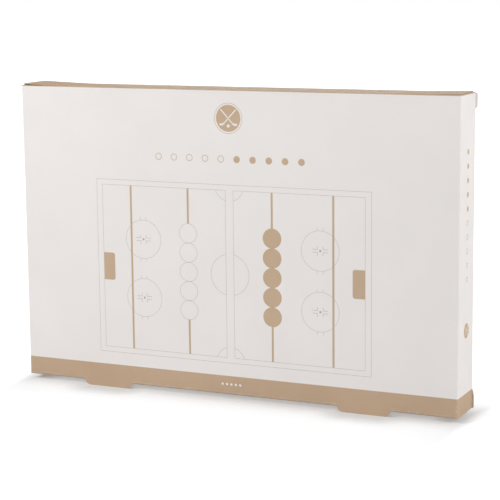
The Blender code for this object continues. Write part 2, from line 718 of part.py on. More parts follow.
def end_rail(name, game, along):
    """Rail across the game, its outer corners and its upper edges rounded."""
    inner = along * FIELD_HALF_LENGTH
    outer = along * GAME_LENGTH / 2
    corners = [
        (inner, -GAME_WIDTH / 2, 0),
        (outer, -GAME_WIDTH / 2, RAIL_CORNER_RADIUS),
        (outer, GAME_WIDTH / 2, RAIL_CORNER_RADIUS),
        (inner, GAME_WIDTH / 2, 0),
    ]
    mesh = plate_mesh(name, rounded_outline(corners), FRAME_HEIGHT)
    ease_edges(
        mesh,
        lambda first, second: not spans(first.z, FRAME_HEIGHT) and not spans(second.z, FRAME_HEIGHT),
        RAIL_EDGE_RADIUS,
    )
    return add_piece(name, mesh, RAIL_WOOD, game, (0, 0, FRAME_BOTTOM))


def centre_bar(game):
    """Bar across the middle, with the gate that a puck passes through at the board."""
    half = FIELD_WIDTH / 2 + BAR_HOUSING - SEAT_GAP
    post = GATE_WIDTH / 2
    corners = [
        (-half, SEAT_GAP, 0),
        (-post, SEAT_GAP, 0),
        (-post, GATE_HEIGHT, GATE_CORNER_RADIUS),
        (post, GATE_HEIGHT, GATE_CORNER_RADIUS),
        (post, SEAT_GAP, 0),
        (half, SEAT_GAP, 0),
        (half, WALL_HEIGHT, 0),
        (-half, WALL_HEIGHT, 0),
    ]
    mesh = plate_mesh("centre_bar", rounded_outline(corners), BAR_WIDTH)
    ease_edges(
        mesh,
        lambda first, second: not spans(first.y, WALL_HEIGHT)
        and not spans(second.y, WALL_HEIGHT)
        and spans(first.x, second.x),
        BAR_EDGE_RADIUS,
    )
    place = (-BAR_WIDTH / 2, 0, 0)
    return add_piece("centre_bar", mesh, RAIL_WOOD, game, place, CROSSWAYS)


def rails(game):
    """The frame of four rails and the centre bar, with every groove and hole cut in it."""
    groove = board_groove(game)
    housing = bar_housing(game)
    dowel_holes = dowels(game)
    cord_rooms = cords(game)
    screw_rooms = bar_screws(game)
    bar = centre_bar(game)
    carve(bar, *[room for _, room in screw_rooms])
    for name, side in (("lower_rail", -1), ("upper_rail", 1)):
        rail = long_rail(name, game, side)
        carve(rail, groove, housing)
        carve(rail, *[hole for _, across, hole in dowel_holes if across == side])
        carve(rail, *[room for across, room in cord_rooms + screw_rooms if across == side])
    for name, side in (("left_end_rail", -1), ("right_end_rail", 1)):
        rail = end_rail(name, game, side)
        carve(rail, groove)
        carve(rail, *[hole for along, _, hole in dowel_holes if along == side])


def rubber_feet(game):
    """Four round rubber feet under the long rails."""
    profile = disc_profile(PAD_DIAMETER / 2, 0, PAD_THICKNESS, PAD_EDGE_RADIUS)
    pad = turned_mesh("rubber_foot", profile, SMALL_ROUND_STEPS)
    height = FRAME_BOTTOM - SEAT_GAP - PAD_THICKNESS
    for end, along in (("left", -1), ("right", 1)):
        for edge, across in (("lower", -1), ("upper", 1)):
            place = (along * (GAME_LENGTH / 2 - PAD_INSET), across * RAIL_MIDDLE_Y, height)
            add_piece(f"{end}_{edge}_rubber_foot", pad, PAD_RUBBER, game, place)


def pucks(game):
    """Two rows of pucks on the lower rail, where they lie while the carton stands."""
    half = PUCK_THICKNESS / 2
    puck = turned_mesh("puck", disc_profile(PUCK_DIAMETER / 2, -half, half, PUCK_EDGE_RADIUS))
    first_x = BAR_WIDTH / 2 + PUCK_SPACING + PUCK_DIAMETER / 2
    y = -FIELD_WIDTH / 2 + SEAT_GAP + PUCK_DIAMETER / 2
    for index in range(PUCKS_PER_SIDE):
        x = first_x + index * (PUCK_DIAMETER + PUCK_SPACING)
        z = half + SEAT_GAP
        add_piece(f"light_puck_{index + 1}", puck, LIGHT_PUCK_WOOD, game, (-x, y, z))
        add_piece(f"tan_puck_{index + 1}", puck, TAN_PUCK_PAINT, game, (x, y, z))


def build_tray():
    tray = frame_empty("tray_frame", (0, 0, TRAY_Z))
    tray_walls(tray)
    packing_channel(tray)
    board_y = GAME_FRONT_Y + WALL_HEIGHT
    middle_z = GAME_Z + GAME_WIDTH / 2 - TRAY_Z
    game = frame_empty("game_frame", (0, board_y, middle_z), UPRIGHT, tray)
    playing_board(game)
    rails(game)
    rubber_feet(game)
    pucks(game)


clear_scene()
build_carton()
build_tray()
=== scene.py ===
"""Boxed table hockey game: a printed carton on card feet, a tray that slides up out of it, and the game.

Lengths are in millimetres until a mesh is made, in the frame's own axes: the origin is on the floor under the
middle of the carton, the front faces -Y and +Z is up. A flat piece of card is a section carried along a path,
and a print is a film of ink on the card.
"""

import json
import math

import bmesh
import bpy
import numpy as np
from mathutils import Matrix, Vector

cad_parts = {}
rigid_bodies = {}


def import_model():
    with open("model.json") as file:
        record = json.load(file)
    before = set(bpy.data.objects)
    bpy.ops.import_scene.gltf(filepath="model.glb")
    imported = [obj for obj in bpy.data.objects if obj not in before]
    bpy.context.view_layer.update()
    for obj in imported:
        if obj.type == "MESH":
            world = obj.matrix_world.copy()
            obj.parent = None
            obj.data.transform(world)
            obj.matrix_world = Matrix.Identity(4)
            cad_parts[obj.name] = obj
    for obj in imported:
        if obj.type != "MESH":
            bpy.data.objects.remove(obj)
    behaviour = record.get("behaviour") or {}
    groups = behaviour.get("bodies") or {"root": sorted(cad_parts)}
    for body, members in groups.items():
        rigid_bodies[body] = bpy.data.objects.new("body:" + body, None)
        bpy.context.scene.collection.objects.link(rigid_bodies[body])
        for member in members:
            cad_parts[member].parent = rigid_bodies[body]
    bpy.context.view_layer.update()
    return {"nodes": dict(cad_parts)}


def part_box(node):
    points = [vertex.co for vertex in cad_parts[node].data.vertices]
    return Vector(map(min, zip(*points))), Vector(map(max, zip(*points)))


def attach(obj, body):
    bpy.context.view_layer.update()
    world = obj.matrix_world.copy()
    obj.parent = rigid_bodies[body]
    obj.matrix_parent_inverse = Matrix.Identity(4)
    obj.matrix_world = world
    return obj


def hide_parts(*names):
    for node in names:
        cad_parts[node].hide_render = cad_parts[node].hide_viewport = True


for old in list(bpy.data.objects):
    bpy.data.objects.remove(old)
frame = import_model()

MM = 0.001
QUARTER = math.pi / 2
SHARP_ANGLE = 35  # degrees between two faces from which their edge is shaded sharp
BEVEL_ANGLE = 50  # degrees from which the edge of a copied node is rounded
FLAT_ANGLE = 0.4  # degrees up to which the faces of a copied node are joined
MERGE_REACH = 2e-6  # metres

# Carton
CARD = 1.5
CREASE = 1.3  # outer radius of a fold
INNER_CREASE = 0.3
BOTTOM_CREASE = 2.0
INNER_BOTTOM_CREASE = 0.5
HALF_WIDTH = 233.15
HALF_DEPTH = 22.45
LOWER_EDGE = 5.2
UPPER_EDGE = 306.5
BAND_TOP = 24.3
BAND_MARGIN = 1.0  # least distance of the band's edge from a worn strip
TOP_PRINT = 0.8  # how far the tan of the top comes down the faces
RIM = 0.15  # worn corner of a cut edge
RIM_SHARE = 0.1  # how much of the card's thickness that corner takes
WORN_REACH = 2.5  # how far wear runs in from a fold or a cut edge
LOOSE_EDGE_WEAR = 0.6  # of the ears and of the folds at the bottom
BOTTOM_GAP = 0.3  # between the bottom panel's ends and the narrow walls
FOOT_MIDDLE = 139.5
FOOT_ROOT = 28.0
FOOT_BASE = 24.5
FOOT_CORNER = 6.0
EAR_START = 230.35
EAR_CORNER = 1.5
LOWER_EAR_TOP = 24.2
LOWER_EAR_REACH = 1.5  # past the narrow wall
LOWER_EAR_SLANT = 6.0
UPPER_EAR_BOTTOM = 290.7
UPPER_EAR_REACH = 1.8
UPPER_EAR_SLANT = 2.5
UPPER_EAR_DROP = 1.0
EAR_PINCH = 0.28  # how much thinner an ear gets for each millimetre outwards
EAR_SLIT = 0.3
BETWEEN_EARS = (LOWER_EAR_TOP + EAR_SLIT, UPPER_EAR_BOTTOM - EAR_SLIT)

# Tray and packing channel
TRAY_CARD = 1.2
TRAY_HALF_WIDTH = 231.15
TRAY_FRONT = -20.45
TRAY_BACK = 18.65
TRAY_BOTTOM = 8.8
TRAY_TOP = 305.7
TRAY_FOLD = 1.5
TRAY_RIM = 0.12  # worn corner of its front edges
TRAY_WEAR = 0.3
TOP_RADII = (0.3, 0.3, 0.6, 0.6)  # edges of the top wall, from the lower front one round
FOLD_RADIUS = 1.6
INNER_FOLD_RADIUS = 0.4
# Where the top springs up: which end, how far up, over which length, and by which power of the way along it
LID_LIFTS = ((-1, 2.8, 110.0, 1.5), (1, 2.0, 80.0, 0.8))
CHANNEL_LOW = (-16.85, 284.6)
CHANNEL_HIGH = (17.15, 304.2)
CHANNEL_HALF_LENGTH = 228.0

# Game
BOARD_FACE = 6.15
BOARD_LINE = 0.7
FIELD_MIDDLE = 147.3
FIELD_HALF_LENGTH = 217.3
FIELD_HALF_WIDTH = 126.3
START_LINE = 2.6
START_LINE_GAP = 0.2  # between its ends and the rails
GOAL_RECESS = 0.8
GOAL_PAINT = 0.998  # the paint ends just inside the recess
BOARD_EASE = 0.15
WOOD_EASE = 0.2
SCREW_EASE = 0.06
PUCK_RADIUS = 15.0
PUCK_HALF_THICKNESS = 5.0
PUCK_RIM = 1.4
# Turned ring near the rim of a puck: radius, and depth under the face
PUCK_RING = ((10.6, 0), (10.8, 0.12), (11.1, 0.22), (11.4, 0.12), (11.6, 0))
CORD_X = 167.4
CORD_Y = 0.85
CORD_RADIUS = 1.5
CORD_HALF_LENGTH = 136.7
CORD_TAIL = 1.2
CORD_GRID = (1100, 28)  # points along it and round it
BRAID_THREADS = 3  # that wind each way
BRAID_TWIST = 2.3  # radians for each millimetre
BRAID_DEPTH = 0.06
BRAID_VALUES = (0.35, 0.8)  # how pale the threads of each way are
KNOT_RADIUS = 3.2
KNOT_LENGTH = 4.2
KNOT_TWIST = 4.0
KNOT_DEPTH = 0.07
PAD_RADIUS = 4.45
PAD_THICKNESS = 2.5
PAD_RIM = 0.6
PAD_BASE_RIM = 0.3

# Plan of the game, measured from its middle
PLAN_HEIGHT = 126.0  # of its middle over the floor
PLAN_HALF = (147.4, 88.5)
PLAN_FIELD = (141.15, 83.15)
PLAN_BAR = 4.2
PLAN_CORD = 108.8
PLAN_START_LINE = 45.2
PLAN_PUCK = 9.8
PLAN_PUCK_PITCH = 19.3
PLAN_GOAL = (12.7, 13.9)
PLAN_GOAL_CORNER = 2.5
FACE_OFF_SPOT = (95.35, 29.65)
FACE_OFF_RADIUS = 19.5
SPOT_RADIUS = 1.15
# Corner mark and tick in one quarter of a face-off circle, from its spot
FACE_OFF_MARK = ((8.1, 1.4), (2.9, 1.4), (2.9, 4.6))
FACE_OFF_TICK = ((3.1, 19.2), (3.1, 22.4))
MARK_SHARE = 1.4  # how much wider its line is than the others
CENTRE_RADIUS = 20.5
EDGE_ARC_RADIUS = 15.4
EDGE_ARC_MIDDLE = 87.9
FINE_LINE = 0.28
TAN_LINE = 2.05
RING_INSET = 0.2
BOARD_SCALE = FIELD_HALF_LENGTH / PLAN_FIELD[0]
INK = 0.03  # film of ink, and how far one film stands over another
LEAST_BEND = 0.3  # share that limits how far a stroke's outer corner stands out

# Ornaments: height of the middle and radius, and the pitch of a row
FRONT_ROUNDEL = (279.2, 13.0)
FRONT_ROW = (239.6, 3.4, 17.0)
FRONT_DOTS = (15.9, 1.25, 4.8)
SIDE_MIDDLE = 1.0
SIDE_ROUNDEL = (84.9, 7.2)
SIDE_ROW = (193.4, 2.6, 13.25)
ROW_COUNT = 10
ROW_LINE = 0.6
ROUNDEL_RING = (1.13, 0.45)  # share of the disc's radius, and width
# Crossed sticks in a roundel of this radius: path and width of shaft and blade, height and radius of the puck
STICK_ROUNDEL = 13
STICK_SHAFT = (((-8.2, 8.6), (4.6, -4.9)), 1.1)
STICK_BLADE = (((4.2, -4.5), (5.0, -5.3), (6.0, -5.9), (7.2, -6.1), (9.4, -6.0)), 2.0)
STICK_PUCK = (-7.4, 1.6)


# Shapes


def unit(vectors):
    """The vectors at length 1."""
    return vectors / np.maximum(np.linalg.norm(vectors, axis=-1, keepdims=True), 1e-12)


def joined(x, y, z):
    """Points of a grid with these coordinates, each repeated where another one runs on."""
    return np.stack(np.broadcast_arrays(x, y, z), axis=-1)


def tube(loops, closed_path=False, paint=0, cap_paint=(0, 0)):
    """Closed surface through loops[i, j], point j of loop i. Quads join each loop to the next, and a flat
    face closes each end unless the last loop joins the first. paint gives each quad's material, cap_paint
    each end's. Faces whose corners' triple products add up to less than 0 point inwards and are turned."""
    stations, around = loops.shape[:2]
    index = np.arange(stations * around).reshape(stations, around)
    here = index if closed_path else index[:-1]
    ahead = np.roll(index, -1, axis=0) if closed_path else index[1:]
    quads = np.stack([here, np.roll(here, -1, 1), np.roll(ahead, -1, 1), ahead], axis=-1).reshape(-1, 4)
    caps = [] if closed_path else [index[0, ::-1], index[-1]]
    painted = np.broadcast_to(paint, here.shape).reshape(-1)
    points = loops.reshape(-1, 3).astype(float)
    corners = points[quads] - points.mean(0)
    volume = (corners[:, 0] * np.cross(corners[:, 1] - corners[:, 3], corners[:, 2])).sum()
    for cap in caps:
        ring = points[cap] - points.mean(0)
        volume += (np.cross(ring[1:-1], ring[2:]) @ ring[0]).sum()
    if volume < 0:
        quads = quads[:, ::-1]
        caps = [cap[::-1] for cap in caps]
    return points, quads, caps, painted, cap_paint


def rounded(corners, radii, steps=5):
    """Outline through the corners, each with a radius turned into the arc that touches both its edges. With
    a and b the unit vectors along the edges and h half the angle between them, the arc's middle lies
    r / sin h from the corner along a + b, and its points turn evenly about that middle."""
    corners = np.asarray(corners, float)
    radii = np.broadcast_to(np.asarray(radii, float), len(corners))
    back = unit(np.roll(corners, 1, axis=0) - corners)
    ahead = unit(np.roll(corners, -1, axis=0) - corners)
    half = np.arccos(np.clip((back * ahead).sum(1), -1, 1)) / 2
    middle = corners + unit(back + ahead) * (radii / np.sin(half))[:, None]
    reach = (radii / np.tan(half))[:, None]
    start = (corners + back * reach - middle)[:, None]
    end = (corners + ahead * reach - middle)[:, None]
    share = np.linspace(0, 1, steps + 1)[None, :, None]
    sweep = (np.pi - 2 * half)[:, None, None]
    spokes = np.sin((1 - share) * sweep) * start + np.sin(share * sweep) * end
    arcs = middle[:, None] + spokes / np.maximum(np.sin(sweep), 1e-9)
    arcs = np.where((radii > 0)[:, None, None], arcs, corners[:, None])
    return arcs[(radii > 0)[:, None] | (np.arange(steps + 1) == 0)]


def arc(middle, radius, start, end, steps=48):
    """Points of a circle from one angle to another, in degrees."""
    angles = np.radians(np.linspace(start, end, steps + 1))
    return np.asarray(middle, float) + radius * np.stack([np.cos(angles), np.sin(angles)], axis=-1)


def circle(middle, radius, steps=64):
    """Points of a whole circle, the first not repeated at the end."""
    return arc(middle, radius, 0, 360, steps)[:-1]


def rectangle(low, high):
    """Corners of a rectangle, from the low one round to the right."""
    (left, bottom), (right, top) = low, high
    return [(left, bottom), (right, bottom), (right, top), (left, top)]


def carried(outer, inner, shares, levels, order):
    """Loops of a card section carried along a path: point j of loop i lies shares[j] of the way from
    outer[i] to inner[i], at levels[i, j] along the third axis. order says which of the three is x, y, z."""
    flat = outer[:, None] + (inner - outer)[:, None] * np.asarray(shares, float)[None, :, None]
    levels = np.broadcast_to(levels, flat.shape[:2])
    return np.dstack([flat, levels])[..., order]


def turned(profile, centre, steps):
    """The (radius, height) profile turned about Y: r cos a, h, r sin a, for a once round."""
    profile = np.asarray(profile, float)
    angles = np.linspace(0, 2 * np.pi, steps, endpoint=False)
    radius, height = profile[:, :1], profile[:, 1:]
    loops = joined(radius * np.cos(angles), height, radius * np.sin(angles))
    return tube(loops + np.asarray(centre, float))


# Pieces


def finish_piece(piece, body, replaced):
    """Puts the piece on its body and in the place of the CAD nodes it stands for."""
    bpy.context.scene.collection.objects.link(piece)
    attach(piece, body)
    if replaced:
        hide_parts(*replaced)
    return piece


def add_piece(name, shapes, materials, body, replaced=(), smooth=SHARP_ANGLE, attributes=None):
    """One mesh of all the shapes, with a material for each paint number and named values at its points."""
    offset = 0
    points, faces, paint = [], [], []
    for shape_points, quads, caps, quad_paint, cap_paint in shapes:
        points.append(shape_points * MM)
        faces.extend((quads + offset).tolist())
        faces.extend((cap + offset).tolist() for cap in caps)
        paint.append(np.concatenate([quad_paint, cap_paint[: len(caps)]]))
        offset += len(shape_points)
    mesh = bpy.data.meshes.new(name)
    mesh.from_pydata(np.concatenate(points).tolist(), [], faces)
    for material in materials:
        mesh.materials.append(material)
    mesh.polygons.foreach_set("material_index", np.concatenate(paint).astype(np.int32))
    for label, values in (attributes or {}).items():
        attribute = mesh.attributes.new(label, "FLOAT", "POINT")
        attribute.data.foreach_set("value", np.asarray(values, np.float32))
    mesh.shade_smooth()
    mesh.set_sharp_from_angle(angle=math.radians(smooth))
    mesh.validate()
    return finish_piece(bpy.data.objects.new(name, mesh), body, replaced)


def eased_copy(name, node, material, radius):
    """A piece of the tray in the CAD node's own form, its points merged and its sharp edges rounded."""
    copy = bmesh.new()
    copy.from_mesh(frame["nodes"][node].data)
    bmesh.ops.remove_doubles(copy, verts=copy.verts, dist=MERGE_REACH)
    flat = math.radians(FLAT_ANGLE)
    bmesh.ops.dissolve_limit(copy, angle_limit=flat, verts=copy.verts, edges=copy.edges)
    mesh = bpy.data.meshes.new(name)
    copy.to_mesh(mesh)
    copy.free()
    mesh.materials.append(material)
    mesh.shade_smooth()
    mesh.set_sharp_from_angle(angle=math.radians(SHARP_ANGLE))
    piece = bpy.data.objects.new(name, mesh)
    bevel = piece.modifiers.new("eased_edges", "BEVEL")
    bevel.width = radius * MM
    bevel.segments = 2
    bevel.limit_method = "ANGLE"
    bevel.angle_limit = math.radians(BEVEL_ANGLE)
    bevel.harden_normals = True
    return finish_piece(piece, "tray", (node,))


def repaint(node, material):
    """Gives a CAD node that stays its finish."""
    slots = frame["nodes"][node].data.materials
    slots.clear()
    slots.append(material)


# Shader nodes


def feed(tree, made, feeds):
    """Gives each input of the node its value, or the socket that it takes."""
    for label, value in feeds.items():
        if isinstance(value, bpy.types.NodeSocket):
            tree.links.new(value, made.inputs[label])
        else:
            made.inputs[label].default_value = value
    return made


def add_node(tree, kind, feeds=None, **settings):
    """A shader node with these settings and inputs."""
    made = tree.nodes.new("ShaderNode" + kind)
    for setting, value in settings.items():
        setattr(made, setting, value)
    return feed(tree, made, feeds or {})


def node_group(name, inputs, outputs):
    """An empty group, the sockets that it is given, and the node that puts out its results."""
    group = bpy.data.node_groups.new(name, "ShaderNodeTree")
    for label, value in inputs.items():
        kind = "NodeSocketVector" if value is None else "NodeSocketFloat"
        socket = group.interface.new_socket(label, in_out="INPUT", socket_type=kind)
        if value is not None:
            socket.default_value = value
    for label in outputs:
        group.interface.new_socket(label, in_out="OUTPUT", socket_type="NodeSocketFloat")
    return group, group.nodes.new("NodeGroupInput").outputs, group.nodes.new("NodeGroupOutput")


def placed(tree, group, feeds):
    """The group's outputs in this tree, with its own values."""
    made = tree.nodes.new("ShaderNodeGroup")
    made.node_tree = group
    return feed(tree, made, feeds).outputs


def ranged(tree, value, low, high, to_low=0.0, to_high=1.0):
    """The value with its range from low to high spread over another range, and clamped to it."""
    feeds = {"Value": value, "From Min": low, "From Max": high, "To Min": to_low, "To Max": to_high}
    return add_node(tree, "MapRange", feeds).outputs["Result"]


def maths(tree, operation, first, *others):
    """Sum, product or the like of values, taken one after another."""
    for other in others:
        first = add_node(tree, "Math", {0: first, 1: other}, operation=operation).outputs["Value"]
    return first


def vector_maths(tree, operation, *vectors):
    """Sum, product or the like of vectors."""
    return add_node(tree, "VectorMath", dict(enumerate(vectors)), operation=operation).outputs["Vector"]


def noise(tree, vector, scale, detail=2.0, roughness=0.5):
    """Clouded noise from 0 to 1."""
    feeds = {"Vector": vector, "Scale": scale, "Detail": detail, "Roughness": roughness}
    return add_node(tree, "TexNoise", feeds).outputs["Fac"]


def mixed(tree, share, *colours):
    """Colour between the first and the second, by a share from 0 to 1."""
    made = tree.nodes.new("ShaderNodeMix")
    made.data_type = "RGBA"
    first, second = (hue if isinstance(hue, bpy.types.NodeSocket) else (*hue, 1.0) for hue in colours)
    return feed(tree, made, {0: share, 6: first, 7: second}).outputs[2]


def position(tree, turn=(0, 0, 0), shift=(0, 0, 0)):
    """Object coordinates, turned and shifted."""
    here = add_node(tree, "TexCoord").outputs["Object"]
    return add_node(tree, "Mapping", {"Vector": here, "Rotation": turn, "Location": shift}).outputs["Vector"]


def paper_grain_group():
    """Soft clouds in a printed sheet, and its fine fibres."""
    inputs = {"Position": None, "Cloud Scale": 16.0, "Fibre Scale": 1300.0}
    tree, given, put = node_group("paper_grain", inputs, ("Clouds", "Fibres"))
    clouds = noise(tree, given["Position"], given["Cloud Scale"], 4.0, 0.55)
    fibres = noise(tree, given["Position"], given["Fibre Scale"], 3.0, 0.65)
    feed(tree, put, {"Clouds": ranged(tree, clouds, 0.3, 0.7), "Fibres": ranged(tree, fibres, 0.3, 0.7)})
    return tree


def edge_wear_group():
    """Where a fold or a cut edge is rubbed: the edge value, broken up by two noises."""
    inputs = {"Edge": 0.0, "Position": None, "Amount": 0.5}
    tree, given, put = node_group("edge_wear", inputs, ("Worn",))
    patches = noise(tree, given["Position"], 90.0, 3.0, 0.6)
    specks = noise(tree, given["Position"], 1100.0, 2.0, 0.6)
    patches, specks = ranged(tree, patches, 0.42, 0.66), ranged(tree, specks, 0.35, 0.62)
    near = maths(tree, "POWER", given["Edge"], 2.0)
    feed(tree, put, {"Worn": maths(tree, "MULTIPLY", near, patches, specks, given["Amount"])})
    return tree


def timber_grain_group():
    """Growth rings cut lengthwise, drawn-out streaks and short pores, with the grain along X."""
    inputs = {"Position": None, "Ring Scale": 60.0, "Pore Depth": 1.0}
    tree, given, put = node_group("timber_grain", inputs, ("Figure", "Pores", "Height"))
    drawn = vector_maths(tree, "MULTIPLY", given["Position"], (0.07, 1.0, 1.0))
    bend = add_node(tree, "TexNoise", {"Vector": drawn, "Scale": 22.0, "Detail": 2.0}).outputs["Color"]
    centred = vector_maths(tree, "SUBTRACT", bend, (0.5, 0.5, 0.5))
    shift = vector_maths(tree, "MULTIPLY", centred, (0.0, 0.016, 0.016))
    feeds = {"Distortion": 0.6, "Detail": 2.0, "Detail Scale": 2.0, "Scale": given["Ring Scale"]}
    feeds["Vector"] = vector_maths(tree, "ADD", drawn, shift)
    wave = add_node(tree, "TexWave", feeds, wave_type="RINGS", rings_direction="X", wave_profile="SAW")
    along = vector_maths(tree, "MULTIPLY", given["Position"], (7.0, 330.0, 330.0))
    streaks = noise(tree, along, 1.0, 3.0, 0.6)
    short = vector_maths(tree, "MULTIPLY", given["Position"], (130.0, 2300.0, 2300.0))
    pores = ranged(tree, noise(tree, short, 1.0, 1.0, 0.5), 0.60, 0.70)
    pores = maths(tree, "MULTIPLY", pores, given["Pore Depth"])
    rings = maths(tree, "MULTIPLY", wave.outputs["Fac"], 0.5)
    figure = maths(tree, "ADD", rings, maths(tree, "MULTIPLY", ranged(tree, streaks, 0.3, 0.7), 0.5))
    height = maths(tree, "SUBTRACT", maths(tree, "MULTIPLY", figure, 0.35), pores)
    feed(tree, put, {"Figure": figure, "Pores": pores, "Height": height})
    return tree


PAPER_GRAIN = paper_grain_group()
EDGE_WEAR = edge_wear_group()
TIMBER_GRAIN = timber_grain_group()


# Materials


def new_material(name, **surface):
    """A material with one Principled shader, whose plain values are given by their socket names."""
    material = bpy.data.materials.new(name)
    material.use_nodes = True
    tree = material.node_tree
    shader = tree.nodes["Principled BSDF"]
    for label, value in surface.items():
        shader.inputs[label.replace("_", " ")].default_value = value
    return material, tree, shader


def surfaced(tree, shader, colour, roughness, height, strength, distance):
    """Gives the shader its colour, its roughness and a bump of this height."""
    bump = add_node(tree, "Bump", {"Height": height, "Strength": strength, "Distance": distance})
    feed(tree, shader, {"Base Color": colour, "Roughness": roughness, "Normal": bump.outputs["Normal"]})


def card_material(name, tones, roughness=(0.62, 0.75), wear=0.55, fibre=0.12):
    """Printed card: its ink varies between two tones, and its folds and edges are rubbed back to the
    core."""
    material, tree, shader = new_material(name, Specular_IOR_Level=0.2)
    here = position(tree)
    grain = placed(tree, PAPER_GRAIN, {"Position": here})
    edge = add_node(tree, "Attribute", attribute_name="edge").outputs["Fac"]
    worn = placed(tree, EDGE_WEAR, {"Edge": edge, "Position": here, "Amount": wear})["Worn"]
    clouds = maths(tree, "MULTIPLY", grain["Clouds"], 0.7)
    shade = maths(tree, "ADD", clouds, maths(tree, "MULTIPLY", grain["Fibres"], 0.3))
    colour = mixed(tree, worn, mixed(tree, shade, *tones), CORE_COLOUR)
    matt = ranged(tree, grain["Fibres"], 0, 1, *roughness)
    surfaced(tree, shader, colour, matt, grain["Fibres"], fibre, 0.00012)
    return material


def timber_material(name, tones, turn=(0, 0, 0), shift=(0, 0, 0), rings=70.0, depth=1.0):
    """Lacquered wood: its figure runs between two tones, and the pores are darker and slightly sunk."""
    pale, deep, pore = tones
    material, tree, shader = new_material(name, Specular_IOR_Level=0.4, Coat_Roughness=0.25)
    here = position(tree, turn, shift)
    grain = placed(tree, TIMBER_GRAIN, {"Position": here, "Ring Scale": rings, "Pore Depth": depth})
    flecked = maths(tree, "MULTIPLY", grain["Pores"], 0.55)
    colour = mixed(tree, flecked, mixed(tree, grain["Figure"], pale, deep), pore)
    satin = ranged(tree, grain["Figure"], 0, 1, 0.34, 0.5)
    feed(tree, shader, {"Coat Weight": ranged(tree, grain["Pores"], 0, 1, 0.25, 0.05)})
    surfaced(tree, shader, colour, satin, grain["Height"], 0.25, 0.00015)
    return material


def cord_material(name, dark, pale, fluff):
    """Braided elastic: dark and pale threads by the braid's own value, which also holds painted shade in the
    dips between threads, with fuzz between them.
    """
    material, tree, shader = new_material(name, Specular_IOR_Level=0.2, Sheen_Weight=0.3)
    braid = add_node(tree, "Attribute", attribute_name="thread_tone_and_groove_shade").outputs["Fac"]
    fuzz = noise(tree, position(tree), 2600.0, 2.0, 0.6)
    dusted = maths(tree, "MULTIPLY", ranged(tree, fuzz, 0.4, 0.75), 0.35)
    colour = mixed(tree, dusted, mixed(tree, braid, dark, pale), fluff)
    surfaced(tree, shader, colour, ranged(tree, fuzz, 0.3, 0.7, 0.75, 0.95), fuzz, 0.3, 0.0001)
    return material


def plain_material(name, tones, scale, roughness, metallic=0.0, depth=0.15):
    """Rubber or plated steel: a fine noise between two tones, in the gloss and in the surface."""
    material, tree, shader = new_material(name, Metallic=metallic)
    fine = ranged(tree, noise(tree, position(tree), scale, 4.0, 0.6), 0.3, 0.7)
    colour = mixed(tree, fine, *tones)
    surfaced(tree, shader, colour, ranged(tree, fine, 0, 1, *roughness), fine, depth, 0.00005)
    return material


CORE_COLOUR = (0.82, 0.79, 0.74)
WHITE_TONES = ((0.835, 0.795, 0.77), (0.795, 0.757, 0.732))
TAN_TONES = ((0.54, 0.394, 0.27), (0.488, 0.348, 0.236))
BARE_TONES = ((0.80, 0.765, 0.71), (0.70, 0.665, 0.61))
LINE_TONES = ((0.47, 0.415, 0.365), (0.43, 0.38, 0.33))
BOARD_LINE_TONES = ((0.37, 0.265, 0.17), (0.32, 0.225, 0.14))
TAN_INK_TONES = ((0.566, 0.42, 0.29), (0.518, 0.378, 0.255))
BEECH = ((0.66, 0.47, 0.285), (0.52, 0.345, 0.19), (0.30, 0.175, 0.085))
BIRCH = ((0.80, 0.64, 0.445), (0.69, 0.52, 0.335), (0.48, 0.33, 0.19))
PLAIN_WOOD = ((0.83, 0.685, 0.5), (0.71, 0.555, 0.375), (0.45, 0.32, 0.19))
STAINED_WOOD = ((0.46, 0.325, 0.205), (0.38, 0.255, 0.15), (0.22, 0.14, 0.08))
CORD_TONES = ((0.11, 0.075, 0.045), (0.36, 0.27, 0.175), (0.46, 0.37, 0.26))
RUBBER_TONES = ((0.035, 0.034, 0.033), (0.055, 0.054, 0.052))
STEEL_TONES = ((0.62, 0.61, 0.59), (0.50, 0.49, 0.48))

WHITE_CARD = card_material("white_printed_card", WHITE_TONES)
TAN_CARD = card_material("tan_printed_card", TAN_TONES, wear=0.35)
CUT_CARD = card_material("bare_card", BARE_TONES, (0.7, 0.85), 0.0, 0.4)
LINE_INK = card_material("fine_line_ink", LINE_TONES, wear=0.0)
BOARD_INK = card_material("board_line_ink", BOARD_LINE_TONES, wear=0.0)
TAN_INK = card_material("tan_ink", TAN_INK_TONES, wear=0.0)
WHITE_INK = card_material("white_ink", WHITE_TONES, wear=0.0)
LONG_BEECH = timber_material("beech_along", BEECH, shift=(0.0, -0.05, -0.14), rings=38.0)
UPRIGHT_BEECH = timber_material("beech_across", BEECH, (0, QUARTER, 0), (0.0, -0.06, 0.03), 38.0)
BOARD_WOOD = timber_material("birch_board", BIRCH, shift=(0.0, -0.045, -0.165), rings=30.0, depth=0.6)
LIGHT_PUCK = timber_material("light_puck_wood", PLAIN_WOOD)
TAN_PUCK = timber_material("tan_puck_stain", STAINED_WOOD)
BRAIDED_CORD = cord_material("braided_cord", *CORD_TONES)
PAD_RUBBER = plain_material("foot_rubber", RUBBER_TONES, 900.0, (0.7, 0.85), depth=0.3)
SCREW_STEEL = plain_material("screw_steel", STEEL_TONES, 1400.0, (0.25, 0.42), 1.0)

WHITE, TAN, CUT = 0, 1, 2
CARD_FINISHES = (WHITE_CARD, TAN_CARD, CUT_CARD)


# Carton

# The way along each wall and the way out of it, seen from above: front, right, back and left
ALONG = np.array([(1, 0), (0, 1), (-1, 0), (0, -1)], float)
OUTWARD = np.array([(0, -1), (1, 0), (0, 1), (-1, 0)], float)
HALF_LENGTHS = (HALF_WIDTH, HALF_DEPTH, HALF_WIDTH, HALF_DEPTH)
FOLD_ANGLES = np.linspace(0, QUARTER, 7)


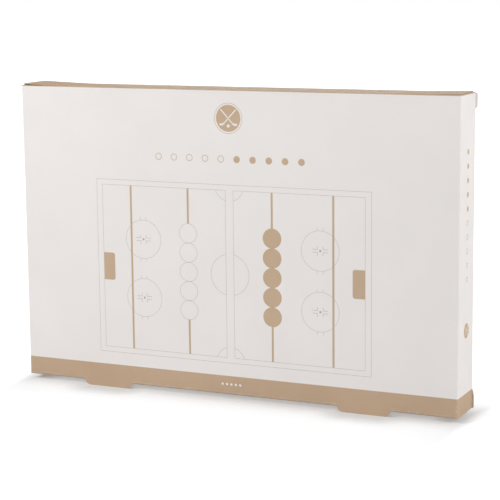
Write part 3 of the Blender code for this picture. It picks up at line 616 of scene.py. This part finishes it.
def foot_outline(middle):
    """Lower edge of a large panel round one foot, left to right, from one bottom fold to the next."""
    half = [(FOOT_ROOT, LOWER_EDGE + BOTTOM_CREASE), (FOOT_ROOT, LOWER_EDGE), (FOOT_BASE, 0)]
    corners = [(middle - x, z) for x, z in half] + [(middle + x, z) for x, z in reversed(half)]
    return rounded(corners, (0, 0, FOOT_CORNER, FOOT_CORNER, 0, 0), 8)


def wall_stops(rear):
    """Places along a large wall, from left to right: distance, lower and upper height, and wear."""
    raised_edge = LOWER_EDGE + BOTTOM_CREASE
    fold = HALF_WIDTH - CREASE
    start = [(fold, raised_edge, UPPER_EDGE, 1), (fold - WORN_REACH, raised_edge, UPPER_EDGE, 0)]
    if rear:
        start = [
            (fold, *BETWEEN_EARS, 1),
            (EAR_START, *BETWEEN_EARS, 1),
            (EAR_START, raised_edge, UPPER_EDGE, 1),
            (EAR_START - WORN_REACH, raised_edge, UPPER_EDGE, 0),
        ]
    start = np.array(start, float)
    stops = [start * (-1, 1, 1, 1)]
    for middle in (-FOOT_MIDDLE, FOOT_MIDDLE):
        foot = foot_outline(middle)
        stops.append(np.column_stack([foot, np.full(len(foot), UPPER_EDGE), np.zeros(len(foot))]))
    return np.concatenate([*stops, start[::-1]])


def side_stops():
    """Places along a narrow wall: distance, lower and upper height, and wear."""
    fold = HALF_DEPTH - CREASE
    places = np.array([-fold, -fold + WORN_REACH, fold - WORN_REACH, fold])
    return np.column_stack([places, np.full(4, LOWER_EDGE), np.full(4, UPPER_EDGE), (1, 0, 0, 1)])


def sleeve_columns():
    """Outer and inner place, lower and upper height, and wear of the card all round the sleeve."""
    outer, inner, rest = [], [], []
    angles = FOLD_ANGLES[:, None]
    for wall in range(4):
        stops = side_stops() if wall % 2 else wall_stops(rear=wall == 2)
        reach = HALF_LENGTHS[(wall + 1) % 4]
        along = stops[:, :1] * ALONG[wall]
        outer.append(along + reach * OUTWARD[wall])
        inner.append(along + (reach - CARD) * OUTWARD[wall])
        rest.append(stops[:, 1:])
        turn = np.cos(angles) * OUTWARD[wall] + np.sin(angles) * ALONG[wall]
        for side, inset, radius in ((outer, CREASE, CREASE), (inner, CARD + INNER_CREASE, INNER_CREASE)):
            middle = (HALF_LENGTHS[wall] - inset) * ALONG[wall] + (reach - inset) * OUTWARD[wall]
            side.append(middle + radius * turn)
        heights = BETWEEN_EARS if wall in (1, 2) else (LOWER_EDGE, UPPER_EDGE)
        rest.append(np.tile((*heights, 1.0), (len(angles), 1)))
    return np.concatenate(outer), np.concatenate(inner), np.concatenate(rest)


def sleeve_shape():
    """Card section with worn corners, carried once round the carton, and how worn each of its points is.
    Its stretches 1 to 5 go up the outer face, 6 to 8 over the upper edge and the last down the inner face."""
    outer, inner, rest = sleeve_columns()
    low, high, worn = rest.T
    margin = WORN_REACH + BAND_MARGIN
    band = np.clip(BAND_TOP, low + margin, high - margin)
    face = [low + RIM, low + WORN_REACH, band, high - WORN_REACH, high - TOP_PRINT, high - RIM]
    levels = np.column_stack([low, *face, high, high, high - RIM, low + RIM, low])
    inside = 1 - RIM_SHARE
    shares = (RIM_SHARE, 0, 0, 0, 0, 0, 0, RIM_SHARE, inside, 1, 1, inside)
    loops = carried(outer, inner, shares, levels, (0, 1, 2))
    height = (levels + np.roll(levels, -1, 1)) / 2
    stretch = np.arange(len(shares))
    outside = (stretch >= 1) & (stretch <= 5)
    upper_edge = (stretch >= 6) & (stretch <= 8) & (high > UPPER_EDGE - RIM)[:, None]
    tan = upper_edge | outside & ((height < BAND_TOP) | (height > UPPER_EDGE - TOP_PRINT))
    paint = np.where(tan, TAN, np.where(outside, WHITE, CUT))
    row_wear = np.array([1, 1, 0, 0, 0, 0, 1, 1, 0, 0, 0, 0], float)
    edge = np.maximum(worn[:, None], row_wear[None, :])
    return tube(loops, closed_path=True, paint=paint), edge.reshape(-1)


def ear_shapes():
    """The back panel's ears, which pass the narrow walls at each corner. Each is pressed thinner outwards:
    its front face falls back evenly with the distance from where the ear starts."""
    upper_end, lower_end = HALF_WIDTH + UPPER_EAR_REACH, HALF_WIDTH + LOWER_EAR_REACH
    upper = [(EAR_START, UPPER_EAR_BOTTOM), (HALF_WIDTH, UPPER_EAR_BOTTOM)]
    upper += [(upper_end, UPPER_EAR_BOTTOM + UPPER_EAR_SLANT), (upper_end, UPPER_EDGE - UPPER_EAR_DROP)]
    upper += [(EAR_START, UPPER_EDGE)]
    lower = [(EAR_START, LOWER_EDGE), (lower_end, LOWER_EDGE), (lower_end, LOWER_EAR_TOP - LOWER_EAR_SLANT)]
    lower += [(HALF_WIDTH, LOWER_EAR_TOP), (EAR_START, LOWER_EAR_TOP)]
    ears = ((upper, (0, 0, 0, EAR_CORNER, 0), WHITE), (lower, (0, EAR_CORNER, 0, 0, 0), TAN))
    shapes = []
    for corners, radii, paint in ears:
        across, up = rounded(corners, radii).T
        front = HALF_DEPTH - CARD + EAR_PINCH * (across - EAR_START)
        depths = np.stack([front, np.full(len(front), HALF_DEPTH)])
        for side in (-1, 1):
            shapes.append(tube(joined(side * across, depths, up), paint=CUT, cap_paint=(paint, paint)))
    return shapes


def bottom_fold_shapes():
    """Fold between a large panel and the bottom, a quarter ring, in the stretches that the feet leave."""
    ring = np.column_stack([np.cos(FOLD_ANGLES), np.sin(FOLD_ANGLES)])
    across, down = np.concatenate([BOTTOM_CREASE * ring, INNER_BOTTOM_CREASE * ring[::-1]]).T
    paint = np.where(np.arange(len(down)) < len(ring) - 1, TAN, CUT)
    near, far = FOOT_MIDDLE - FOOT_ROOT, FOOT_MIDDLE + FOOT_ROOT
    shapes = []
    for side, end in ((-1, HALF_WIDTH - CREASE), (1, EAR_START)):
        depth = side * (HALF_DEPTH - BOTTOM_CREASE + across)
        for stretch in ((-end, -far), (-near, near), (far, end)):
            loops = joined(np.array(stretch)[:, None], depth, LOWER_EDGE + BOTTOM_CREASE - down)
            shapes.append(tube(loops, paint=paint, cap_paint=(CUT, CUT)))
    return shapes


def bottom_shape():
    """Bottom panel with the four notches that the feet were cut out of."""
    fold = HALF_DEPTH - BOTTOM_CREASE
    end = HALF_WIDTH - CARD - BOTTOM_GAP
    notch = ((-FOOT_ROOT, 0), (-FOOT_BASE, LOWER_EDGE), (FOOT_BASE, LOWER_EDGE), (FOOT_ROOT, 0))
    notches = [(middle + x, depth - fold) for middle in (-FOOT_MIDDLE, FOOT_MIDDLE) for x, depth in notch]
    front = [(-end, -fold), *notches, (end, -fold)]
    rear = [(x, -y) for x, y in reversed(front)]
    radii = [0, *(0, FOOT_CORNER, FOOT_CORNER, 0) * 2, 0]
    across, depth = rounded(front + rear, radii * 2).T
    loops = joined(across, depth, [[LOWER_EDGE], [LOWER_EDGE + CARD]])
    return tube(loops, paint=CUT, cap_paint=(TAN, CUT))


def add_carton():
    """Sleeve with its ears and bottom folds, the bottom, and the flaps, which keep the CAD's own form."""
    sleeve, edge = sleeve_shape()
    loose = [*ear_shapes(), *bottom_fold_shapes()]
    loose_points = sum(len(shape[0]) for shape in loose)
    wear = {"edge": np.append(edge, np.full(loose_points, LOOSE_EDGE_WEAR))}
    walls = ("front_panel", "back_panel", "left_side_panel", "right_side_panel")
    shapes = [sleeve, *loose]
    add_piece("carton_sleeve", shapes, CARD_FINISHES, "carton", walls, attributes=wear)
    add_piece("carton_bottom", [bottom_shape()], CARD_FINISHES, "carton", ("bottom_panel",))
    for node in ("left_dust_flap", "right_dust_flap", "glue_flap"):
        repaint(node, CUT_CARD)


# Prints


def on_face(origin, right=(1, 0, 0), up=(0, 0, 1)):
    """A function that puts flat points at a height over a plane in space. The plane faces right x up, which
    is the front unless both are given."""
    out = np.cross(right, up)

    def place(flat, lift):
        """Each point is the origin + x right + y up + lift out."""
        flat = np.asarray(flat, float)
        return flat[..., :1] * right + flat[..., 1:] * up + lift * out + origin

    return place


def stroke(face, path, width, lift, closed=False):
    """Line of this width along a flat path: each point gives one on either side, at right angles to the way
    the path runs there and further out at a bend, so that the width stays the same."""
    path = np.asarray(path, float)
    ahead = unit(np.roll(path, -1, 0) - path)
    behind = unit(path - np.roll(path, 1, 0))
    if not closed:
        ahead[-1] = behind[-1]
        behind[0] = ahead[0]
    normal = behind[:, ::-1] * (-1, 1)
    side = unit(unit(ahead + behind)[:, ::-1] * (-1, 1))
    side = side * (width / 2 / np.maximum((side * normal).sum(1), LEAST_BEND))[:, None]
    left, right = path + side, path - side
    loops = np.stack([face(left, lift), face(right, lift), face(right, -INK), face(left, -INK)], axis=1)
    return tube(loops, closed_path=closed)


def patch(face, outline, lift):
    """Filled outline as a film of ink."""
    return tube(np.stack([face(outline, lift), face(outline, -INK)]))


def cross_line(face, place, half, width, lift):
    """Straight line across the field, half its length up and half down."""
    return stroke(face, [(place, -half), (place, half)], width, lift)


def field_lines(face, scale, width, lift):
    """Thin marks of the playing field: centre circle, edge arcs, and face-off circles with their spots,
    corner marks and ticks."""
    shapes = []
    gap = math.degrees(math.acos(PLAN_BAR / CENTRE_RADIUS))
    low = math.degrees(math.asin((PLAN_FIELD[1] - EDGE_ARC_MIDDLE) / EDGE_ARC_RADIUS))
    near = -math.degrees(math.acos(PLAN_BAR / EDGE_ARC_RADIUS))
    spot = np.array(FACE_OFF_SPOT)
    quarters = np.array([(x, z) for x in (-1, 1) for z in (-1, 1)])
    half_circle = arc((0, 0), CENTRE_RADIUS, -gap, gap)
    edge_arc = arc((0, EDGE_ARC_MIDDLE), EDGE_ARC_RADIUS, low, near, 24)
    for side in (-1, 1):
        shapes.append(stroke(face, half_circle * (side * scale, scale), width, lift))
    for flip in quarters * scale:
        shapes.append(stroke(face, edge_arc * flip, width, lift))
        shapes.append(stroke(face, circle(spot, FACE_OFF_RADIUS) * flip, width, lift, closed=True))
        shapes.append(patch(face, circle(spot, SPOT_RADIUS, 20) * flip, lift))
        for quarter in quarters:
            mark = (spot + np.array(FACE_OFF_MARK) * quarter) * flip
            tick = (spot + np.array(FACE_OFF_TICK) * quarter) * flip
            shapes.append(stroke(face, mark, width * MARK_SHARE, lift))
            shapes.append(stroke(face, tick, width, lift))
    return shapes


def plan_frame_lines(face, width, lift):
    """Outer outline of the game, and the two halves of its field."""
    outline = rectangle(np.negative(PLAN_HALF), PLAN_HALF)
    shapes = [stroke(face, outline, width, lift, closed=True)]
    half = np.array(rectangle((PLAN_BAR, -PLAN_FIELD[1]), PLAN_FIELD))
    for side in (-1, 1):
        shapes.append(stroke(face, half * (side, 1), width, lift, closed=True))
    return shapes


def goal_outline(side):
    """The goal at one end of the plan, square at the rail and rounded towards the field."""
    field_x = PLAN_FIELD[0]
    depth, half = PLAN_GOAL
    corners = rectangle((field_x - depth, -half), (field_x, half))
    return rounded(corners, (PLAN_GOAL_CORNER, 0, 0, PLAN_GOAL_CORNER)) * (side, 1)


def add_plan():
    """Plan of the game on the front of the carton."""
    face = on_face((0, -HALF_DEPTH, PLAN_HEIGHT))
    lines = plan_frame_lines(face, FINE_LINE, INK) + field_lines(face, 1, FINE_LINE, INK)
    tan, white = [], []
    for side in (-1, 1):
        tan.append(patch(face, goal_outline(side), 2 * INK))
        for place in (PLAN_CORD, PLAN_START_LINE):
            tan.append(cross_line(face, side * place, PLAN_FIELD[1], TAN_LINE, 2 * INK))
    for step in range(-2, 3):
        middle = np.array((PLAN_START_LINE, step * PLAN_PUCK_PITCH))
        mirrored = middle * (-1, 1)
        tan.append(patch(face, circle(middle, PLAN_PUCK), 3 * INK))
        white.append(patch(face, circle(mirrored, PLAN_PUCK), 3 * INK))
        ring = circle(mirrored, PLAN_PUCK - RING_INSET)
        lines.append(stroke(face, ring, FINE_LINE, 4 * INK, closed=True))
    add_piece("plan_fine_lines", lines, (LINE_INK,), "carton")
    add_piece("plan_tan_forms", tan, (TAN_INK,), "carton")
    add_piece("plan_light_pucks", white, (WHITE_INK,), "carton")


def crossed_sticks(face, scale, lift):
    """Two crossed sticks and a puck: each a straight shaft and a blade that bends up to level."""
    shapes = []
    for side in (-1, 1):
        for path, width in (STICK_SHAFT, STICK_BLADE):
            shapes.append(stroke(face, np.array(path) * (side * scale, scale), width * scale, lift))
    height, radius = STICK_PUCK
    shapes.append(patch(face, circle((0, height * scale), radius * scale, 32), lift))
    return shapes


def roundel(face, radius):
    """Filled disc with crossed sticks left out of it, in a fine ring."""
    share, width = ROUNDEL_RING
    tan = [patch(face, circle((0, 0), radius, 96), INK)]
    white = crossed_sticks(face, radius / STICK_ROUNDEL, 2 * INK)
    ring = [stroke(face, circle((0, 0), radius * share, 96), width, INK, closed=True)]
    return tan, white, ring


def disc_row(face, radius, pitch):
    """Small discs in a row, the first half as outlines and the others filled."""
    tan = []
    for index in range(ROW_COUNT):
        middle = ((index - (ROW_COUNT - 1) / 2) * pitch, 0)
        if index < ROW_COUNT / 2:
            ring = circle(middle, radius - ROW_LINE / 2, 40)
            tan.append(stroke(face, ring, ROW_LINE, INK, closed=True))
        else:
            tan.append(patch(face, circle(middle, radius, 40), INK))
    return tan


def add_front_ornaments():
    """Roundel and row of discs above the plan, and five white dots in the band."""
    height, radius = FRONT_ROUNDEL
    tan, white, ring = roundel(on_face((0, -HALF_DEPTH, height)), radius)
    height, radius, pitch = FRONT_ROW
    tan += disc_row(on_face((0, -HALF_DEPTH, height)), radius, pitch)
    height, radius, pitch = FRONT_DOTS
    for step in range(-2, 3):
        dot = circle((step * pitch, 0), radius, 24)
        white.append(patch(on_face((0, -HALF_DEPTH, height)), dot, INK))
    add_piece("front_tan_ornaments", tan, (TAN_INK,), "carton")
    add_piece("front_white_ornaments", white, (WHITE_INK,), "carton")
    add_piece("front_roundel_ring", ring, (TAN_INK,), "carton")


def add_side_ornaments():
    """The same row and roundel, small, running up each narrow wall."""
    for name, side in (("left", -1), ("right", 1)):
        axes = ((0, 0, 1), (0, -side, 0))
        height, radius = SIDE_ROUNDEL
        tan, white, ring = roundel(on_face((side * HALF_WIDTH, SIDE_MIDDLE, height), *axes), radius)
        height, radius, pitch = SIDE_ROW
        tan += disc_row(on_face((side * HALF_WIDTH, SIDE_MIDDLE, height), *axes), radius, pitch)
        add_piece(name + "_side_tan_ornaments", tan, (TAN_INK,), "carton")
        add_piece(name + "_side_white_ornaments", white + ring, (WHITE_INK,), "carton")


# Tray


def top_curve():
    """Places along the tray's top from right to left, and how far it springs up there: at each end by a
    power of how far along the loose stretch the place is."""
    loose = np.linspace(0, 1, 19)
    stretches = []
    for end, height, reach, power in LID_LIFTS:
        stretches.append([end * (TRAY_HALF_WIDTH - reach * (1 - loose)), height * loose**power])
    left, right = np.array(stretches)
    return np.concatenate([right[:, ::-1], left], axis=1)


def tray_walls(left_top, right_top):
    """Section of a wall and its fold, carried down one side, along the bottom and up the other."""
    paths = []
    for inset, radius in ((0, FOLD_RADIUS), (TRAY_CARD, INNER_FOLD_RADIUS)):
        half, low = TRAY_HALF_WIDTH - inset, TRAY_BOTTOM + inset
        corners = [(-half, left_top), (-half, low), (half, low), (half, right_top)]
        paths.append(rounded(corners, (0, radius, radius, 0)))
    angles = np.linspace(0, QUARTER, 6)
    fold_shares = TRAY_FOLD * (1 - np.cos(angles)) / TRAY_CARD
    fold_levels = TRAY_BACK - TRAY_FOLD * (1 - np.sin(angles))
    back, rim = TRAY_BACK - TRAY_CARD, TRAY_FRONT + TRAY_RIM
    shares = [1 - RIM_SHARE, RIM_SHARE, 0, *fold_shares, TRAY_FOLD / TRAY_CARD, 1, 1]
    levels = [TRAY_FRONT, TRAY_FRONT, rim, *fold_levels, back, back - (TRAY_FOLD - TRAY_CARD), rim]
    paint = np.where(np.isin(np.arange(len(shares)), (0, 1, len(shares) - 1)), CUT, TAN)
    return tube(carried(*paths, shares, levels, (0, 2, 1)), paint=paint, cap_paint=(CUT, CUT))


def add_tray():
    """Tray folded from one sheet: its walls, the back panel between them and the top wall over them. The
    card under the top follows it where it springs up."""
    top_x, lift = top_curve()
    high = TRAY_TOP - TRAY_CARD
    walls = tray_walls(high + lift[-1], high + lift[0])
    end, low = TRAY_HALF_WIDTH - TRAY_FOLD, TRAY_BOTTOM + TRAY_FOLD
    sheet_x = [-end, end, *np.clip(top_x, -end, end)]
    sheet = joined(sheet_x, [[TRAY_BACK - TRAY_CARD], [TRAY_BACK]], [low, low, *(high + lift)])
    panel = tube(sheet, paint=CUT, cap_paint=(TAN, TAN))
    depth, height = rounded(rectangle((TRAY_FRONT, high), (-TRAY_FRONT, TRAY_TOP)), TOP_RADII).T
    top = tube(joined(top_x[:, None], depth, height + lift[:, None]), paint=TAN, cap_paint=(TAN, TAN))
    shapes = [walls, panel, top]
    wear = {"edge": np.full(sum(len(shape[0]) for shape in shapes), TRAY_WEAR)}
    nodes = ["tray_" + part for part in ("back", "bottom_wall", "left_wall", "right_wall", "top_wall")]
    add_piece("folded_tray", shapes, CARD_FINISHES, "tray", nodes, attributes=wear)


def add_packing_channel():
    """Card channel, a rounded ring of card in section, open at both ends."""
    low, high = np.array((CHANNEL_LOW, CHANNEL_HIGH))
    rings = []
    for inset, radius in ((0, FOLD_RADIUS), (TRAY_CARD, INNER_FOLD_RADIUS)):
        rings.append(rounded(rectangle(low + inset, high - inset), radius))
    end = CHANNEL_HALF_LENGTH
    loops = carried(*rings, (0, 0, 1, 1), (-end, end, end, -end), (2, 0, 1))
    shapes = [tube(loops, closed_path=True)]
    add_piece("packing_channel_fold", shapes, (CUT_CARD,), "tray", ("packing_channel",))


# Wooden game


def add_board():
    """Board with its printed field, and the paint in the two goals."""
    eased_copy("rink_board", "playing_board", BOARD_WOOD, BOARD_EASE)
    face = on_face((0, BOARD_FACE, FIELD_MIDDLE))
    fine_lines = field_lines(face, BOARD_SCALE, BOARD_LINE, INK)
    add_piece("board_fine_lines", fine_lines, (BOARD_INK,), "tray")
    recess = on_face((0, BOARD_FACE + GOAL_RECESS, FIELD_MIDDLE))
    reach = FIELD_HALF_WIDTH - START_LINE_GAP
    start_lines, goals = [], []
    for side in (-1, 1):
        place = side * PLAN_START_LINE * BOARD_SCALE
        start_lines.append(cross_line(face, place, reach, START_LINE, INK))
        goals.append(patch(recess, goal_outline(side) * BOARD_SCALE * GOAL_PAINT, INK))
    add_piece("board_start_lines", start_lines, (TAN_INK,), "tray")
    add_piece("board_goals", goals, (TAN_INK,), "tray")


def add_frame_wood():
    """Rails and centre bar with eased edges, the bar's screws, and the dowels at the corners."""
    for node in ("lower_rail", "upper_rail"):
        eased_copy(node + "_beech", node, LONG_BEECH, WOOD_EASE)
    for node in ("left_end_rail", "right_end_rail", "centre_bar"):
        eased_copy(node + "_beech", node, UPRIGHT_BEECH, WOOD_EASE)
    for edge in ("lower", "upper"):
        eased_copy(edge + "_steel_screw", edge + "_bar_screw", SCREW_STEEL, SCREW_EASE)
        for end in ("left", "right"):
            for level in ("rear", "front"):
                repaint(f"{end}_{edge}_{level}_dowel", LONG_BEECH)


def add_rubber_feet():
    """Round pads under the long rails, their rim rounded."""
    rim = arc((PAD_RADIUS - PAD_RIM, PAD_THICKNESS - PAD_RIM), PAD_RIM, 0, 90, 4)
    profile = np.concatenate([[(PAD_RADIUS - PAD_BASE_RIM, 0), (PAD_RADIUS, PAD_BASE_RIM)], rim])
    for edge in ("lower", "upper"):
        for end in ("left", "right"):
            node = f"{end}_{edge}_rubber_foot"
            low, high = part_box(node)
            centre = np.add(low, high) / 2 / MM
            centre[1] = low[1] / MM
            pad = turned(profile, centre, 40)
            add_piece(node + "_pad", [pad], (PAD_RUBBER,), "tray", (node,))


def puck_profile():
    """Flat puck with rounded rims, a shallow turned ring near the rim of both faces."""
    half = PUCK_HALF_THICKNESS
    rim = arc((PUCK_RADIUS - PUCK_RIM, half - PUCK_RIM), PUCK_RIM, 90, 0, 8)
    ring = np.array(PUCK_RING) * (1, -1) + (0, half)
    front = np.concatenate([ring, rim])
    return np.concatenate([front * (1, -1), front[::-1]])[::-1]


def add_pucks():
    """Five light and five tan pucks, each on a body of its own."""
    kinds = (("light", LIGHT_PUCK, "light_puck_wood"), ("tan", TAN_PUCK, "tan_puck_paint"))
    for kind, material, slot in kinds:
        for index in range(1, 6):
            node = f"{kind}_puck_{index}"
            low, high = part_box(node)
            centre = (Vector(low) + Vector(high)) / 2 / MM
            shape = turned(puck_profile(), centre, 96)
            add_piece(node + "_turned", [shape], (material,), node, (node,))


def add_cords():
    """Braided elastic, radius r (1 - d + d w) with w the weave of two crossing helices. The wound knot at
    each end adds the sine of how far along it a point lies, a little less where its turns meet."""
    stations, around = CORD_GRID
    along = np.linspace(-CORD_HALF_LENGTH, CORD_HALF_LENGTH, stations)[:, None]
    angle = np.linspace(0, 2 * np.pi, around, endpoint=False)[None, :]
    left_hand = np.cos(BRAID_THREADS * angle + BRAID_TWIST * along)
    right_hand = np.cos(BRAID_THREADS * angle - BRAID_TWIST * along)
    weave = np.maximum(left_hand, right_hand)
    # Each way's threads have their own tone, and painted shade darkens them where the weave dips between
    # threads
    thread_tone_and_groove_shade = np.where(left_hand > right_hand, *BRAID_VALUES) * np.clip(weave * 0.7 + 0.5, 0, 1)
    inside = np.clip((CORD_HALF_LENGTH - CORD_TAIL - np.abs(along)) / KNOT_LENGTH, 0, 1)
    turns = 1 - KNOT_DEPTH + KNOT_DEPTH * np.cos(2 * angle + KNOT_TWIST * along)
    radius = CORD_RADIUS * (1 - BRAID_DEPTH + BRAID_DEPTH * weave)
    radius = radius + (KNOT_RADIUS - CORD_RADIUS) * np.sin(np.pi * inside) * turns
    values = {"thread_tone_and_groove_shade": thread_tone_and_groove_shade.reshape(-1)}
    for name, side in (("left", -1), ("right", 1)):
        across, depth = side * CORD_X + radius * np.cos(angle), CORD_Y + radius * np.sin(angle)
        shape = tube(joined(across, depth, FIELD_MIDDLE + along))
        node = name + "_elastic_cord"
        piece = name + "_braided_cord"
        add_piece(piece, [shape], (BRAIDED_CORD,), "tray", (node,), 60, values)


# Surroundings, in metres and radians

# Camera whose place and turn were fitted to the edges of the carton that the photograph shows
CAMERA_PLACE = (0.689772, -1.454893, 0.420396)
YAW, PITCH, ROLL = 0.436362, 0.168144, -0.010367
FOCAL_LENGTH = 1654.2  # pixels
PHOTO_WIDTH = 500  # pixels
SENSOR_WIDTH = 36  # millimetres

WORLD_FILL = 0.34
FLOOR_COLOUR = (0.79, 0.80, 0.81, 1)
FLOOR_HALF = 14
WHITE_LIGHT = (1, 1, 1, 1)
# Painted light that thins the carton's shadow: distances from the carton over which the camera's floor grows
# lighter, and by how much: round the carton, past its ends, behind it, under it, further off and far off,
# where the floor turns white
CONTACT_FADE = (0.006, 0.026, 0.17, 0.26)
END_FADE = (0.002, 0.013, 0.0, 0.26)
REAR_FADE = (0.020, 0.060, 0.0, 0.24)
UNDER_PAINTED_LIGHT = (-0.009, 0.0, 0.25, 0.0)
NEAR_FADE = (0.03, 0.3, 0.0, 0.24)
ROOM_FADE = (0.3, 1.5, 0.0, 0.5)
# Painted shade round each foot, where the floor's glow is taken away: over which stretch it ends along the
# carton, ends away from it and starts at the wall, and over which the painted light under the carton ends
# before the carton does
PAINTED_FOOT_SHADE_ALONG = (0.020, 0.045, 1.0, 0.0)
PAINTED_FOOT_SHADE_AWAY = (0.011, 0.037, 1.0, 0.0)
PAINTED_FOOT_SHADE_START = (-0.002, 0.003, 0.0, 1.0)
UNDER_PAINTED_LIGHT_END = (-0.030, -0.004, 1.0, 0.0)
LAMP_AIM = (0, 0, 0.15)
# Name, place, width and watts of each lamp
SOFTBOXES = (
    ("front_left_softbox", (-0.9, -1.2, 1.1), 0.8, 17.4),
    ("right_softbox", (1.9, -0.3, 0.75), 1.4, 18.8),
    ("right_rear_softbox", (1.6, 0.5, 1.1), 1.2, 2.0),
    ("rear_softbox", (-0.5, 1.9, 0.35), 1.2, 12.0),
)


def add_camera():
    """The camera looks along forward: turned left by the yaw, down by the pitch, and rolled about that
    line."""
    level = Vector((math.cos(YAW), math.sin(YAW), 0))
    forward = Vector((-math.sin(YAW) * math.cos(PITCH), math.cos(YAW) * math.cos(PITCH), -math.sin(PITCH)))
    upright = level.cross(forward)
    right = math.cos(ROLL) * level + math.sin(ROLL) * upright
    up = math.cos(ROLL) * upright - math.sin(ROLL) * level
    camera = bpy.data.objects.new("camera", bpy.data.cameras.new("camera"))
    camera.data.sensor_width = SENSOR_WIDTH
    camera.data.lens = SENSOR_WIDTH * FOCAL_LENGTH / PHOTO_WIDTH
    camera.data.clip_start = 0.05
    turn = Matrix((right, up, -forward)).transposed().to_4x4()
    camera.matrix_world = Matrix.Translation(CAMERA_PLACE) @ turn
    bpy.context.scene.collection.objects.link(camera)
    bpy.context.scene.camera = camera


def empty_tree(owner):
    """The cleared node tree of a world or a material."""
    owner.use_nodes = True
    owner.node_tree.nodes.clear()
    return owner.node_tree


def seen_directly(tree):
    """1 for a ray from the camera, or one that a mirror or glass sends on."""
    path = add_node(tree, "LightPath").outputs
    return maths(tree, "MAXIMUM", *(path[f"Is {kind} Ray"] for kind in ("Camera", "Glossy", "Transmission")))


def add_world():
    """Plain light from all sides, and white where the camera sees it."""
    world = bpy.data.worlds.new("white_surroundings")
    bpy.context.scene.world = world
    tree = empty_tree(world)
    fill = add_node(tree, "Background", {"Color": WHITE_LIGHT, "Strength": WORLD_FILL})
    white = add_node(tree, "Background", {"Color": WHITE_LIGHT, "Strength": 1.0})
    blend = add_node(tree, "MixShader", {0: seen_directly(tree), 1: fill.outputs[0], 2: white.outputs[0]})
    add_node(tree, "OutputWorld", {"Surface": blend.outputs[0]})


def floor_lift(tree):
    """How much the camera's floor glows at each place: the fades by distance, painted light that thins the
    carton's shadow and turns the floor white far off, less the painted shade round the feet."""
    place = add_node(tree, "TexCoord").outputs["Object"]
    footprint = (HALF_WIDTH * MM, HALF_DEPTH * MM, 0)
    past = vector_maths(tree, "SUBTRACT", vector_maths(tree, "ABSOLUTE", place), footprint)
    gap = vector_maths(tree, "MAXIMUM", past, (0, 0, 0))
    distance = add_node(tree, "VectorMath", {0: gap}, operation="LENGTH").outputs["Value"]
    depth = add_node(tree, "SeparateXYZ", {0: place}).outputs["Y"]
    past = add_node(tree, "SeparateXYZ", {0: past}).outputs
    ends, rear = ranged(tree, past["X"], *END_FADE), ranged(tree, depth, *REAR_FADE)
    # painted light under the carton, which stops short of the carton's ends
    under = maths(tree, "MULTIPLY", ranged(tree, past["Y"], *UNDER_PAINTED_LIGHT), ranged(tree, past["X"], *UNDER_PAINTED_LIGHT_END))
    fades = [ranged(tree, distance, *fade) for fade in (CONTACT_FADE, NEAR_FADE, ROOM_FADE)]
    lift = maths(tree, "ADD", maths(tree, "MAXIMUM", ends, rear, under), *fades)
    # painted shade round each foot: the floor's glow is taken away there
    from_foot = maths(tree, "ADD", past["X"], (HALF_WIDTH - FOOT_MIDDLE) * MM)
    shade = ranged(tree, maths(tree, "ABSOLUTE", from_foot, 0.0), *PAINTED_FOOT_SHADE_ALONG)
    away, start = ranged(tree, distance, *PAINTED_FOOT_SHADE_AWAY), ranged(tree, past["Y"], *PAINTED_FOOT_SHADE_START)
    shade = maths(tree, "MULTIPLY", shade, away, start)
    return maths(tree, "MULTIPLY", lift, maths(tree, "SUBTRACT", 1.0, shade))


def add_floor():
    """Pale floor that keeps the carton's shadow, under a glow that only the camera sees, which holds painted
    light and shade near the carton.
    """
    corners = [(x, y, 0) for x, y in rectangle((-FLOOR_HALF, -FLOOR_HALF), (FLOOR_HALF, FLOOR_HALF))]
    floor = bpy.data.meshes.new("floor")
    floor.from_pydata(corners, [], [(0, 1, 2, 3)])
    material = bpy.data.materials.new("floor_with_painted_light")
    tree = empty_tree(material)
    matte = add_node(tree, "BsdfDiffuse", {"Color": FLOOR_COLOUR})
    strength = maths(tree, "MULTIPLY", seen_directly(tree), floor_lift(tree))
    glow = add_node(tree, "Emission", {"Color": WHITE_LIGHT, "Strength": strength})
    both = add_node(tree, "AddShader", {0: matte.outputs[0], 1: glow.outputs[0]})
    add_node(tree, "OutputMaterial", {"Surface": both.outputs[0]})
    floor.materials.append(material)
    ground = bpy.data.objects.new("floor", floor)
    bpy.context.scene.collection.objects.link(ground)


def add_softbox(name, place, width, power):
    """Square lamp that faces the middle of the carton."""
    light = bpy.data.lights.new(name, "AREA")
    light.shape = "RECTANGLE"
    light.size = width
    light.size_y = width
    light.energy = power
    lamp = bpy.data.objects.new(name, light)
    lamp.location = place
    lamp.rotation_euler = (Vector(LAMP_AIM) - Vector(place)).to_track_quat("-Z", "Y").to_euler()
    bpy.context.scene.collection.objects.link(lamp)


add_camera()
add_carton()
add_plan()
add_front_ornaments()
add_side_ornaments()
add_tray()
add_packing_channel()
add_board()
add_frame_wood()
add_rubber_feet()
add_pucks()
add_cords()
add_world()
add_floor()
for softbox in SOFTBOXES:
    add_softbox(*softbox)
bpy.context.scene.view_settings.view_transform = "Standard"
